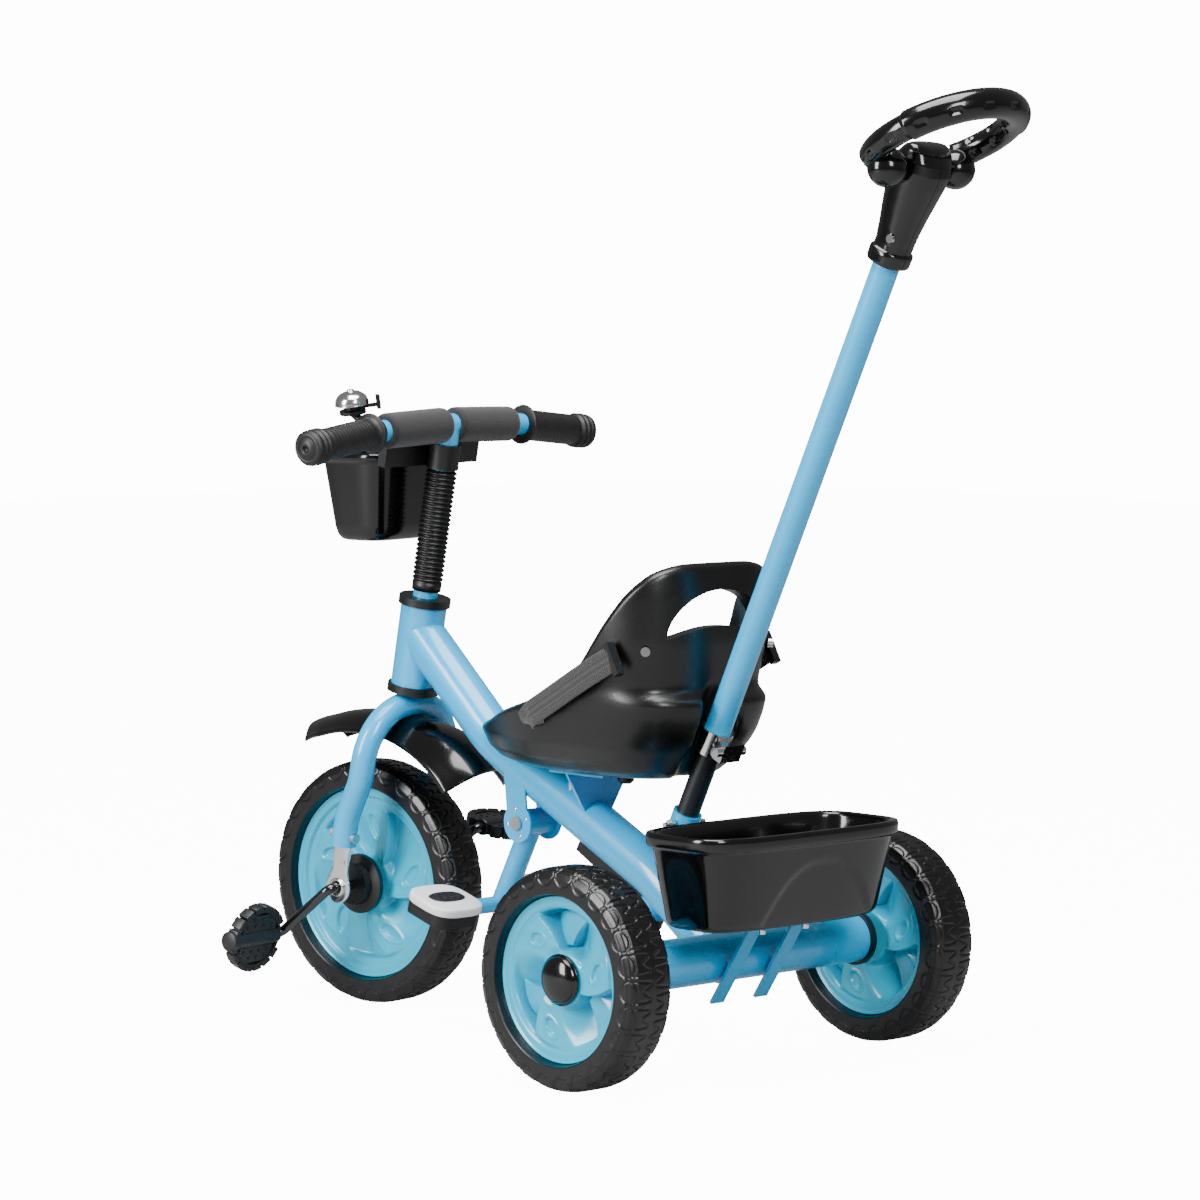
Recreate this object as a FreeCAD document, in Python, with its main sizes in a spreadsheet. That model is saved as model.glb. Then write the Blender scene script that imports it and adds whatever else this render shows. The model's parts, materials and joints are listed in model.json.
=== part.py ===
import FreeCAD, Part, Sketcher
import math
import os
import re

from FreeCAD import Placement, Rotation, Vector

# Children's tricycle with a parent push bar. Millimetres; the front wheel points to -Y,
# +X is the rider's left and +Z is up. Everything is laid out from the point on the ground
# under the middle of the rear axle; rear_axle_shift then moves the whole machine back, so
# that the origin is under the middle of its outer box.
SIZES = {
    # layout
    "rear_axle_shift": 147, "track_half": 202.5, "steer_tilt": 10.8,
    "steer_foot_back": 447.2, "steer_foot_height": 318, "rest_steer": 6, "fork_offset": 12,
    # rear wheels
    "rear_tyre_radius": 102, "rear_tyre_width": 54.5, "rear_rim_radius": 76,
    # front wheel
    "front_tyre_radius": 123.2, "front_tyre_width": 52, "front_rim_radius": 96.6,
    "rim_recess": 8.6, "lip_rise": 2, "rim_wall": 3, "hub_radius": 17, "front_spokes": 5, "rear_spokes": 3,
    "front_flange_radius": 30, "front_flange_depth": 14, "rear_cap_radius": 23.5,
    # axles, crank and pedals
    "axle_radius": 5, "bore_gap": 0.1, "crank_radius": 5, "crank_throw": 76.2, "crank_angle": 39.8,
    "crank_knee": 73, "crank_elbow": 82, "crank_reach": 150, "pedal_middle": 120, "pedal_radius": 35,
    "pedal_height": 13, "pedal_barrel_radius": 9, "pedal_barrel_length": 60,
    # frame tubes
    "main_tube_radius": 22.5, "tube_wall": 2, "axle_tube_radius": 23, "axle_tube_half": 166,
    "head_tube_radius": 23, "head_tube_length": 82, "cup_radius": 26, "cup_depth": 8,
    "socket_radius": 14, "socket_bore": 11.15, "socket_length": 112, "socket_top_back": -58.5,
    "socket_top_height": 231.1, "push_tilt": 25.5,
    # steering column
    "steerer_radius": 12.5, "fork_radius": 12.5, "fork_half": 60,
    "dropout_thickness": 3, "dropout_radius": 13, "cover_radius": 15, "cover_foot": 105,
    "cover_length": 123, "cover_rings": 24, "bar_height": 273, "bar_radius": 11,
    "bar_half": 205, "bar_bend": 100, "bar_drop": 3, "bar_end_drop": 14, "bar_sweep": 7,
    "foam_radius": 17.5, "foam_start": 7, "foam_end": 92, "grip_start": 110, "grip_radius": 15.5,
    "grip_flange_radius": 20, "grip_end_radius": 17.5, "grip_length": 98,
    # push bar
    "push_lower_radius": 11, "push_lower_length": 262, "push_upper_radius": 12.7,
    "push_upper_bore": 11.1, "clamp_start": 66, "push_upper_start": 70, "hub_base": 570,
    "hub_head": 92, "hub_head_radius": 24, "hub_half_width": 26.5, "hub_collar_radius": 17,
    "ring_radius": 66.2, "ring_tube": 12, "ring_sleeve": 14, "ring_tilt": 24.7, "ball_radius": 18,
    "ball_half": 45, "ring_pin_radius": 6,
    # footrest
    "hinge_back": -271, "hinge_height": 203, "hinge_plate_half": 18.5, "hinge_plate_thick": 2.5,
    "hinge_plate_radius": 19, "hinge_pin_radius": 4, "footrest_tube_radius": 11,
    "footrest_reach": 95.7, "footrest_lean": 27.4, "footrest_pitch": 17, "pad_inner": 36,
    "pad_width": 64, "pad_depth": 62, "pad_cover": 9, "pad_base": 12,
    # seat and baskets
    "seat_floor": 263, "seat_wall": 4, "seat_top": 472, "seat_nose": -337, "seat_back": -24,
    "rear_basket_half": 130, "rear_basket_front": -6, "rear_basket_back": 111,
    "rear_basket_floor": 140, "rear_basket_top": 228, "front_basket_half": 62,
    "front_basket_depth": 80, "front_basket_height": 88, "basket_wall": 2.5,
    # small parts
    "screw_radius": 3, "bell_radius": 16.5,
}

doc = FreeCAD.newDocument("tricycle")
dims = doc.addObject("Spreadsheet::Sheet", "dims")
for row, (alias, value) in enumerate(SIZES.items(), start=1):
    dims.set(f"A{row}", alias)
    dims.set(f"B{row}", str(value))
    dims.setAlias(f"B{row}", alias)
doc.recompute()

X_AXIS = Vector(1, 0, 0)
Y_AXIS = Vector(0, 1, 0)
Z_AXIS = Vector(0, 0, 1)
ORIGIN = Vector(0, 0, 0)
ACROSS = Rotation(Y_AXIS, 90)
sub_parts = []


def size(alias):
    """The value of one cell of the sheet."""
    return dims.get(alias)


def bound(expression):
    """An expression in sheet aliases, with each alias pointed at its cell."""
    return re.sub(r"[a-z_]+", lambda m: f"dims.{m[0]}" if m[0] in SIZES else m[0], str(expression))


def primitive(kind, name, at=Placement(), **sizes):
    """A Part primitive whose properties follow expressions in sheet aliases."""
    shape = doc.addObject(f"Part::{kind}", name)
    for prop, expression in sizes.items():
        shape.setExpression(prop, bound(expression))
    shape.Placement = at
    return shape


def rod(name, radius, length, at=Placement()):
    """A cylinder along its own Z."""
    return primitive("Cylinder", name, at, Radius=radius, Height=length)


def block(name, length, width, height, at=Placement()):
    """A box from its own corner."""
    return primitive("Box", name, at, Length=length, Width=width, Height=height)


def joined(name, parts):
    """The boolean sum of several document objects."""
    result = doc.addObject("Part::MultiFuse", name)
    result.Shapes = parts
    result.Refine = True
    return result


def less(name, base, tool):
    """One document object with another one taken away."""
    result = doc.addObject("Part::Cut", name)
    result.Base = base
    result.Tool = tool
    result.Refine = True
    return result


def feature(name, shape):
    """A document object around a shape made with Part's own functions."""
    result = doc.addObject("Part::Feature", name)
    result.Shape = shape
    return result


def sub_part(label, piece, at=Placement()):
    """Names one physical piece and sets where it stands."""
    piece.Label = label
    piece.Placement = at.multiply(piece.Placement)
    sub_parts.append(piece)
    return piece


def outline_sketch(body, role, points):
    """A closed sketch through points given as pairs of expressions, each one held by its dimensions."""
    sketch = body.newObject("Sketcher::SketchObject", f"{body.Name}_outline")
    plane = next(f for f in body.Origin.OriginFeatures if f.Role == role)
    sketch.AttachmentSupport = [(plane, "")]
    sketch.MapMode = "FlatFace"
    spots = [Vector(evaluate(a), evaluate(b), 0) for a, b in points]
    for index, spot in enumerate(spots):
        sketch.addGeometry(Part.LineSegment(spot, spots[(index + 1) % len(spots)]), False)
    for index in range(len(spots)):
        sketch.addConstraint(Sketcher.Constraint("Coincident", index, 2, (index + 1) % len(spots), 1))
    for index, (a, b) in enumerate(points):
        for kind, expression, value in (("DistanceX", a, spots[index].x), ("DistanceY", b, spots[index].y)):
            number = sketch.addConstraint(Sketcher.Constraint(kind, -1, 1, index, 1, value))
            sketch.setExpression(f"Constraints[{number}]", bound(expression))
    return sketch


def evaluate(expression):
    """The number that an expression in sheet aliases gives."""
    dims.set("D1", f"={expression}")
    dims.recompute()
    return float(dims.get("D1"))


def turned(name, points):
    """A PartDesign body revolved about its own Z; points are (radius, height along the axis)."""
    body = doc.addObject("PartDesign::Body", name)
    sketch = outline_sketch(body, "XZ_Plane", points)
    spin = body.newObject("PartDesign::Revolution", f"{name}_spin")
    spin.Profile = sketch
    spin.ReferenceAxis = (sketch, ["V_Axis"])
    spin.Angle = 360
    return body


def plate(name, points, thickness, role="YZ_Plane"):
    """A PartDesign body: an outline padded to both sides of one of its origin planes."""
    body = doc.addObject("PartDesign::Body", name)
    sketch = outline_sketch(body, role, points)
    pad = body.newObject("PartDesign::Pad", f"{name}_pad")
    pad.Profile = sketch
    pad.setExpression("Length", bound(thickness))
    pad.Midplane = True
    return body


def bent_path(points, radii):
    """Straight runs joined by tangent arcs: one radius for each inner point."""
    edges = []
    start = points[0]
    for before, corner, after, radius in zip(points, points[1:], points[2:], radii):
        back = (before - corner).normalize()
        ahead = (after - corner).normalize()
        half_turn = (math.pi - back.getAngle(ahead)) / 2
        reach = radius * math.tan(half_turn)
        enter = corner + back * reach
        leave = corner + ahead * reach
        middle_way = (back + ahead).normalize()
        middle = corner + middle_way * (radius / math.cos(half_turn) - radius)
        edges.append(Part.LineSegment(start, enter).toShape())
        edges.append(Part.Arc(enter, middle, leave).toShape())
        start = leave
    edges.append(Part.LineSegment(start, points[-1]).toShape())
    return Part.Wire(edges)


def bent_rod(points, radii, radius):
    """A round bar along a bent path."""
    path = bent_path(points, radii)
    ring = Part.Circle(points[0], points[1] - points[0], radius).toShape()
    return path.makePipeShell([Part.Wire([ring])], True, True)


def bent_tube(points, radii, radius, wall):
    """A round tube along a bent path."""
    return bent_rod(points, radii, radius).cut(bent_rod(points, radii, radius - wall))


def biggest(shape):
    """The largest solid of a shape that a cut may have left in several."""
    return max(shape.Solids, key=lambda piece: piece.Volume)


def bar_between(start, end, radius):
    """A round bar from one point to another."""
    return Part.makeCylinder(radius, (end - start).Length, start, end - start)


# ---- frame -----------------------------------------------------------------------------
# The steering axis leans back; its own frame has the foot of the head tube at the origin,
# local Z up the axis and local -Y forwards.
steer_frame = Placement(Vector(0, -size("steer_foot_back"), size("steer_foot_height")),
                        Rotation(X_AXIS, -size("steer_tilt")))
rear_axle = Vector(0, 0, size("rear_tyre_radius"))
socket_top = Vector(0, size("socket_top_back"), size("socket_top_height"))
push_frame = Placement(socket_top, Rotation(X_AXIS, -size("push_tilt")))
hinge_centre = Vector(0, size("hinge_back"), size("hinge_height"))

# The main tube runs from the head tube down under the seat to the rear axle tube.
main_route = [steer_frame.multVec(Vector(0, 0, 62)), Vector(0, -322, 278), Vector(0, -100, 167),
              rear_axle + Vector(0, 0, -10)]
main_radii = [150, 130]
main_solid = bent_rod(main_route, main_radii, size("main_tube_radius"))
main_hollow = bent_rod(main_route, main_radii, size("main_tube_radius") - size("tube_wall"))
head_solid = Part.makeCylinder(size("head_tube_radius"), size("head_tube_length"),
                               Vector(0, 0, size("cup_depth")))
head_solid.Placement = steer_frame
axle_tube_solid = Part.makeCylinder(size("axle_tube_radius"), 2 * size("axle_tube_half"),
                                    rear_axle - X_AXIS * size("axle_tube_half"), X_AXIS)
socket_solid = Part.makeCylinder(size("socket_radius"), size("socket_length"),
                                 Vector(0, 0, -size("socket_length")))
socket_solid.Placement = push_frame
main_tube = main_solid.cut(main_hollow).cut(head_solid).cut(axle_tube_solid).cut(socket_solid)
sub_part("main_tube", feature("main_tube_shape", biggest(main_tube)))

head_tube = less("head_tube_shape", rod("head_outer", "head_tube_radius", "head_tube_length"),
                 rod("head_bore", "head_tube_radius - tube_wall", "head_tube_length"))
sub_part("head_tube", head_tube, steer_frame.multiply(Placement(Z_AXIS * size("cup_depth"), Rotation())))

axle_tube = less("axle_tube_shape", rod("axle_outer", "axle_tube_radius", "axle_tube_half * 2"),
                 rod("axle_bore", "axle_tube_radius - tube_wall", "axle_tube_half * 2"))
sub_part("axle_tube", axle_tube,
         Placement(rear_axle - X_AXIS * size("axle_tube_half"), ACROSS))

socket = less("socket_shape", rod("socket_outer", "socket_radius", "socket_length"),
              rod("socket_inner", "socket_bore", "socket_length"))
sub_part("push_socket", socket,
         push_frame.multiply(Placement(Z_AXIS * -size("socket_length"), Rotation())))

# Plastic cups close both ends of the head tube and carry the steerer.
upper_cup_foot = size("cup_depth") + size("head_tube_length")
for label, height in (("lower_headset_cup", 0), ("upper_headset_cup", upper_cup_foot)):
    cup = turned(f"{label}_body", [("steerer_radius + bore_gap", 0), ("cup_radius", 0),
                                   ("cup_radius", "cup_depth"), ("steerer_radius + bore_gap", "cup_depth")])
    sub_part(label, cup, steer_frame.multiply(Placement(Z_AXIS * height, Rotation())))

# Black end rings close the axle tube and hold the axle rod in its middle.
end_ring_points = [("axle_radius", -6), ("axle_tube_radius - tube_wall", -6),
                   ("axle_tube_radius - tube_wall", 0), ("cup_radius", 0), ("cup_radius", 6),
                   ("axle_radius", 6)]
end_rings = []
for side in (1, -1):
    ring = turned(f"end_ring_{'left' if side > 0 else 'right'}", end_ring_points)
    ring.Placement = Placement(rear_axle + X_AXIS * side * size("axle_tube_half"),
                               Rotation(Y_AXIS, 90 * side))
    end_rings.append(ring)
sub_part("axle_end_rings", joined("end_rings", end_rings))
sub_part("rear_axle_rod", rod("rear_axle", "axle_radius", "track_half * 2 + 36"),
         Placement(rear_axle - X_AXIS * (size("track_half") + 18), ACROSS))

# Two flat straps run from the axle tube up to the floor of the rear basket.
strap_half, strap_width, strap_thick = 29, 17, 3
straps = []
for side in (1, -1):
    strap = Part.makeBox(strap_width, strap_thick, 95, Vector(-strap_width / 2, 0, -30))
    strap.Placement = Placement(Vector(side * strap_half, 24, 88), Rotation(X_AXIS, -33))
    foot = Part.makeBox(strap_width, 26, strap_thick,
                        Vector(side * strap_half - strap_width / 2, 52,
                               size("rear_basket_floor") - strap_thick))
    roof = Part.makeBox(400, 400, 60, Vector(-200, -200, size("rear_basket_floor")))
    straps.append(strap.fuse(foot).cut(axle_tube_solid).cut(roof))
strap_pair = Part.makeCompound([biggest(strap) for strap in straps])
sub_part("basket_straps", feature("basket_straps_shape", strap_pair))

# Two round-ended plates are welded to the flanks of the main tube and carry the footrest.
hinge_plates = []
for side in (1, -1):
    inner = size("hinge_plate_half")
    thick = size("hinge_plate_thick")
    left_face = inner if side > 0 else -inner - thick
    disc = Part.makeCylinder(size("hinge_plate_radius"), thick, Vector(left_face, 0, 0), X_AXIS)
    ear = Part.makeBox(thick, 28, 55, Vector(left_face, -14, 0))
    hole = Part.makeCylinder(size("hinge_pin_radius"), thick, Vector(left_face, 0, 0), X_AXIS)
    tab = disc.fuse(ear).cut(hole)
    tab.Placement = Placement(hinge_centre, Rotation(X_AXIS, 6))
    tab = tab.cut(main_solid)
    hinge_plates.append(min(tab.Solids, key=lambda piece: piece.CenterOfMass.z))
sub_part("footrest_hinge_plates", feature("hinge_plates_shape", Part.makeCompound(hinge_plates)))
hinge_bolt_length = 2 * (size("hinge_plate_half") + size("hinge_plate_thick"))
bolt_head = Part.makeCylinder(7, 3, Vector(hinge_bolt_length / 2, 0, 0), X_AXIS)
bolt_nut = Part.makeCylinder(7, 3, Vector(-hinge_bolt_length / 2 - 3, 0, 0), X_AXIS)
hinge_pin = bar_between(X_AXIS * (-hinge_bolt_length / 2), X_AXIS * (hinge_bolt_length / 2),
                        size("hinge_pin_radius"))
hinge_bolt = hinge_pin.fuse([bolt_head, bolt_nut]).removeSplitter()
hinge_bolt.translate(hinge_centre)
sub_part("footrest_pivot_bolt", feature("pivot_bolt_shape", hinge_bolt))

# The seat sits on a folded plate bracket: a flat top on a web that straddles the main tube.
seat_bolts = Part.makeCompound([bar_between(Vector(side * 29, -187, 243),
                                            Vector(side * 29, -187, size("seat_floor")), 2.6)
                                for side in (1, -1)])
bracket_floor = size("seat_floor") - 3
bracket_top = Part.makeBox(84, 74, 3, Vector(-42, -204, bracket_floor))
web_points = [Vector(-42, -182, bracket_floor), Vector(42, -182, bracket_floor), Vector(14, -182, 216),
              Vector(-14, -182, 216)]
web = Part.Face(Part.makePolygon(web_points + web_points[:1])).extrude(Vector(0, 3, 0))
bracket = bracket_top.fuse(web).cut(main_solid).cut(seat_bolts).removeSplitter()
sub_part("seat_bracket", feature("seat_bracket_shape", biggest(bracket)))
sub_part("seat_bolts", feature("seat_bolts_shape", seat_bolts))
sub_part("seat_knob", turned("seat_knob_body", [(0, 0), (8, 0), (8, -6), (5, -9), (0, -9)]),
         Placement(Vector(0, -142, bracket_floor), Rotation()))

# A ribbed guard strip lies under the rear run of the main tube, and a plug closes the socket.
guard_start = Vector(0, -196, 190)
guard_end = Vector(0, -112, 143)
guard = Part.makeBox(20, (guard_end - guard_start).Length, 16, Vector(-10, 0, -8))
guard.Placement = Placement(guard_start, Rotation(X_AXIS, math.degrees(math.atan2(
    guard_end.z - guard_start.z, guard_end.y - guard_start.y))))
sub_part("tube_guard", feature("tube_guard_shape", guard.cut(main_solid).cut(socket_solid)))
sub_part("socket_plug", turned("socket_plug_body", [(0, -10), ("socket_radius", -10), ("socket_radius", 0),
                                                    ("socket_bore", 0), ("socket_bore", 8), (0, 8)]),
         push_frame.multiply(Placement(Z_AXIS * -size("socket_length"), Rotation())))


# ---- seat and rear basket ----------------------------------------------------------------
def rounded_ring(half_width, front, back, height, power=2.6, taper=0.0, front_power=None, points=24):
    """A closed plan curve at one height: a superellipse, narrowed towards its front by taper."""
    middle = (front + back) / 2
    reach = (back - front) / 2
    spots = []
    for step in range(points):
        angle = 2 * math.pi * (step + 0.5) / points
        bend = 2 / (front_power if front_power and math.sin(angle) < 0 else power)
        across = math.copysign(abs(math.cos(angle)) ** bend, math.cos(angle))
        along = math.copysign(abs(math.sin(angle)) ** bend, math.sin(angle))
        narrow = 1 - taper * max(0, -along) ** 1.5
        spots.append(Vector(half_width * across * narrow, middle + reach * along, height))
    curve = Part.BSplineCurve()
    curve.interpolate(spots, PeriodicFlag=True)
    return Part.Wire(curve.toShape())


def lofted(rings, ruled=False):
    """A solid through closed plan curves, bottom first."""
    return Part.makeLoft(rings, True, ruled)


# The seat is one moulded bucket: floor, winged back with a grab opening, slots for the belt.
wall = size("seat_wall")
floor = size("seat_floor")
nose = size("seat_nose")
back = size("seat_back")
top = size("seat_top")
# height above the floor, half width, nose and back of the outside of the bucket
bucket_plan = [(0, 52, 45, -34), (15, 75, 15, -21), (32, 86, 3, -2), (57, 93, 1, 9), (80, 97, 0, 14),
               (87, 99, -1, 4), (130, 105, -4, 8), (177, 105, -4, 8), (213, 103, -4, 6)]


def bucket_solid(inset, lift, channel_radius):
    """The bucket drawn in by an inset, less the channel for the push bar up its back."""
    rings = [rounded_ring(half - inset, nose + ahead + inset, back + behind - inset, floor + up, 4,
                          0.45, 2.2) for up, half, ahead, behind in bucket_plan]
    rings[0].translate(Z_AXIS * lift)
    rings[-1].translate(Z_AXIS * lift)
    channel = Part.makeCylinder(channel_radius, 300)
    channel.Placement = push_frame
    return lofted(rings, True).cut(channel)


outer_bucket = bucket_solid(0, 0, 24)
inner_bucket = bucket_solid(wall, wall, 24 + wall)
bucket = outer_bucket.cut(inner_bucket)
side_curve = Part.BSplineCurve()
side_curve.interpolate([Vector(-200, nose - 20, floor + 30), Vector(-200, -300, floor + 37),
                        Vector(-200, -240, floor + 54), Vector(-200, -150, floor + 80),
                        Vector(-200, -108, floor + 103), Vector(-200, -72, floor + 151),
                        Vector(-200, -32, floor + 193), Vector(-200, back + 12, top)])
side_edges = [side_curve.toShape(),
              Part.makePolygon([Vector(-200, back + 12, top), Vector(-200, back + 12, floor - 5),
                                Vector(-200, nose - 20, floor - 5), Vector(-200, nose - 20, floor + 30)])]
side_keep = Part.Face(Part.Wire(side_edges)).extrude(X_AXIS * 400)
grab_low = [Vector(-64, -90, 398), Vector(0, -90, 412), Vector(64, -90, 398)]
grab_high = [Vector(64, -90, 398), Vector(0, -90, 444), Vector(-64, -90, 398)]
grab_face = Part.Face(Part.Wire([Part.Arc(*grab_low).toShape(), Part.Arc(*grab_high).toShape()]))
seat = bucket.common(side_keep).cut(grab_face.extrude(Y_AXIS * 120)).cut(main_solid)
for side in (1, -1):
    slot = Part.makeBox(44, 34, 16, Vector(-22, -17, -8))
    slot.Placement = Placement(Vector(side * 92, -176, floor + 53), Rotation())
    seat = seat.cut(slot)
sub_part("seat_shell", feature("seat_shape", biggest(seat)))

# Webbing belts run from the floor slots up to plastic hooks screwed to the back.
belt_straps = []
belt_hooks = []
belt_screws = []
for side in (1, -1):
    low = Vector(side * 100, -174, floor + 53)
    high = Vector(side * 104, -55, floor + 117)
    way = high - low
    strip = Part.makeBox(2.2, way.Length - 9, 24, Vector(-1.1, 0, -12))
    strip.Placement = Placement(low, Rotation(Y_AXIS, way))
    belt_straps.append(strip.cut(outer_bucket))
    hook = Part.makeBox(9, 7, 32, Vector(-4.5, -3.5, -16))
    hook.Placement = Placement(high + way.normalize() * 2, Rotation(Y_AXIS, way))
    belt_hooks.append(hook.cut(outer_bucket))
    screw_foot = Vector(side * 78, -37, floor + 125)
    screw = Part.makeCylinder(4.5, 9, screw_foot, Vector(side * 0.75, 0.66, 0))
    belt_screws.append(screw.cut(outer_bucket))
sub_part("belt_straps", feature("belt_straps_shape", Part.makeCompound(belt_straps)))
sub_part("belt_hooks", feature("belt_hooks_shape", Part.makeCompound(belt_hooks)))

# The rear basket is a tapered tub with a rolled rim.
tub_half, tub_front, tub_back = (size(f"rear_basket_{name}") for name in ("half", "front", "back"))
tub_floor, tub_top = size("rear_basket_floor"), size("rear_basket_top")
skin = size("basket_wall")
tub_outer = lofted([rounded_ring(tub_half - 16, tub_front + 9, tub_back - 11, tub_floor, 4),
                    rounded_ring(tub_half - 3, tub_front + 3, tub_back - 3, tub_top - 1, 4)])
tub_inner = lofted([rounded_ring(tub_half - 16 - skin, tub_front + 9 + skin, tub_back - 11 - skin,
                                 tub_floor + skin, 4),
                    rounded_ring(tub_half - 3 - skin, tub_front + 3 + skin, tub_back - 3 - skin,
                                 tub_top + 1, 4)])
rim_outer = lofted([rounded_ring(tub_half, tub_front, tub_back, tub_top - 12, 4),
                    rounded_ring(tub_half + 2, tub_front - 2, tub_back + 2, tub_top, 4)])
tub = tub_outer.fuse(rim_outer).cut(tub_inner).removeSplitter()
sub_part("rear_basket", feature("rear_basket_shape", biggest(tub)))
tub_screws = [Part.makeCylinder(4, 5, Vector(side * strap_half, 66, tub_floor - strap_thick - 5))
              for side in (1, -1)]
sub_part("trim_screws", feature("trim_screws_shape", Part.makeCompound(belt_screws + tub_screws)))


# ---- push bar ------------------------------------------------------------------------------
def along_push(distance):
    """A place on the push bar's axis, measured up from the mouth of its socket."""
    return push_frame.multiply(Placement(Z_AXIS * distance, Rotation()))


lower_tube = less("push_lower_shape", rod("push_lower_outer", "push_lower_radius", "push_lower_length"),
                  rod("push_lower_bore", "push_lower_radius - tube_wall", "push_lower_length"))
sub_part("push_bar_lower_tube", lower_tube, along_push(-70))
socket_bolt_drop = 12
bolt_at = push_frame.multVec(Vector(0, 0, -socket_bolt_drop))
collar_ends = []
for side in (1, -1):
    face = bolt_at + X_AXIS * side * (size("socket_radius") - 0.5)
    shank = bar_between(face, face + X_AXIS * side * 13, 2.5)
    knob = Part.makeCylinder(5, 4, face + X_AXIS * side * 2, X_AXIS * side)
    collar_ends.append(shank.fuse(knob).cut(socket_solid))
sub_part("socket_bolt", feature("socket_bolt_shape", Part.makeCompound(collar_ends)))

upper_tube = less("push_upper_shape",
                  rod("push_upper_outer", "push_upper_radius", "hub_base + 50 - push_upper_start"),
                  rod("push_upper_inner", "push_upper_bore", "hub_base + 50 - push_upper_start"))
sub_part("push_bar_upper_tube", upper_tube, along_push(size("push_upper_start")))
clamp_band = turned("clamp_band", [("push_upper_radius", 0), ("push_upper_radius + 3", 0),
                                   ("push_upper_radius + 3", 24), ("push_upper_radius", 24)])
clamp_ears = block("clamp_ears", 26, 12, 18, Placement(Vector(-13, 14.5, 3), Rotation()))
sub_part("push_bar_clamp", joined("clamp_shape", [clamp_band, clamp_ears]), along_push(size("clamp_start")))
clamp_bolts = [Part.makeCylinder(5, 6, Vector(side * 13, 21, size("clamp_start") + 12), X_AXIS * side)
               for side in (1, -1)]

# The handle hub is a pair of shells, screwed together over the end of the upper tube.
head_up = size("hub_head")
collar_radius = size("hub_collar_radius")
head_radius = size("hub_head_radius")
neck = [(-collar_radius, 0), (collar_radius, 0), (collar_radius, 22), (head_radius, head_up),
        (-head_radius, head_up), (-collar_radius - 2, 45)]
neck_face = Part.Face(Part.makePolygon([Vector(0, a, b) for a, b in neck + neck[:1]]))
half_width = size("hub_half_width")
collar = Part.makeCylinder(collar_radius, 30, Vector(0, 0, 0))
pin_hole = Part.makeCylinder(size("ring_pin_radius") + 0.1, 2 * half_width,
                             Vector(-half_width, 0, head_up), X_AXIS)
tube_hole = Part.makeCylinder(size("push_upper_radius"), 50)
for side, name in ((1, "left"), (-1, "right")):
    head_disc = Part.makeCylinder(head_radius, half_width, Vector(0, 0, head_up), X_AXIS * side)
    cheek = neck_face.extrude(X_AXIS * side * (collar_radius - 1))
    keep = Part.makeBox(60, 120, 160, Vector(0 if side > 0 else -60, -60, -1))
    shell = head_disc.fuse([cheek, collar.common(keep)]).cut(tube_hole).cut(pin_hole).removeSplitter()
    sub_part(f"handle_hub_{name}", feature(f"handle_hub_{name}_shape", shell), along_push(size("hub_base")))
hub_collar = Part.makeCylinder(collar_radius, 30, Vector(0, 0, size("hub_base")))
hub_screws = [Part.makeCylinder(4, 2.5, Vector(collar_radius - 1, across, size("hub_base") + up), X_AXIS)
              .cut(hub_collar) for across, up in ((3, 58), (8, 27))]
sub_part("push_bar_screws", feature("push_screws_shape", Part.makeCompound(clamp_bolts + hub_screws)),
         along_push(0))

# The handle is an open ring whose two ends carry balls that turn in the hub.
pin_centre = push_frame.multVec(Vector(0, 0, size("hub_base") + head_up))
ring_frame = Placement(pin_centre, Rotation(X_AXIS, size("ring_tilt")))
ring_radius = size("ring_radius")
ring_centre = Vector(0, 34.8, 14.4)
gap_angle = math.degrees(math.atan2(34.8, 47))
ring_line = Part.makeCircle(ring_radius, ring_centre, Z_AXIS, -gap_angle, 180 + gap_angle)


def ring_sweep(radius, first, last):
    """The round bar of the ring between two angles."""
    line = Part.makeCircle(ring_radius, ring_centre, Z_AXIS, first, last)
    start = line.Vertexes[0].Point
    section = Part.Wire([Part.Circle(start, line.tangentAt(line.FirstParameter), radius).toShape()])
    return Part.Wire([line]).makePipeShell([section], True, True)


ring_bar = ring_sweep(size("ring_tube"), -gap_angle, 180 + gap_angle)
ball_half = size("ball_half")
balls = []
for side in (1, -1):
    ball = Part.makeSphere(size("ball_radius"), X_AXIS * side * ball_half)
    pin = bar_between(X_AXIS * side * (half_width - 18), X_AXIS * side * ball_half, size("ring_pin_radius"))
    end = ring_line.Vertexes[0].Point if side > 0 else ring_line.Vertexes[-1].Point
    link = bar_between(X_AXIS * side * ball_half, end, size("ring_tube"))
    balls.append(ball.fuse([pin, link]))
handle_ring = ring_bar.fuse(balls).removeSplitter()
sub_part("handle_ring", feature("handle_ring_shape", handle_ring), ring_frame)
sleeve = ring_sweep(size("ring_sleeve"), 15, 150).cut(ring_sweep(size("ring_tube"), 10, 155))
sub_part("handle_ring_sleeve", feature("ring_sleeve_shape", sleeve), ring_frame)


# ---- steering column -----------------------------------------------------------------------
# The whole column stands turned a little to the rider's left, about the steering axis.
steer_foot = steer_frame.Base
steer_axis = steer_frame.Rotation.multVec(Z_AXIS)
steer_turn = Placement(ORIGIN, Rotation(steer_axis, size("rest_steer")), steer_foot)
column = steer_turn.multiply(steer_frame)


def up_column(distance):
    """A place on the steering axis, measured up from the foot of the head tube."""
    return column.multiply(Placement(Z_AXIS * distance, Rotation()))


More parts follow.
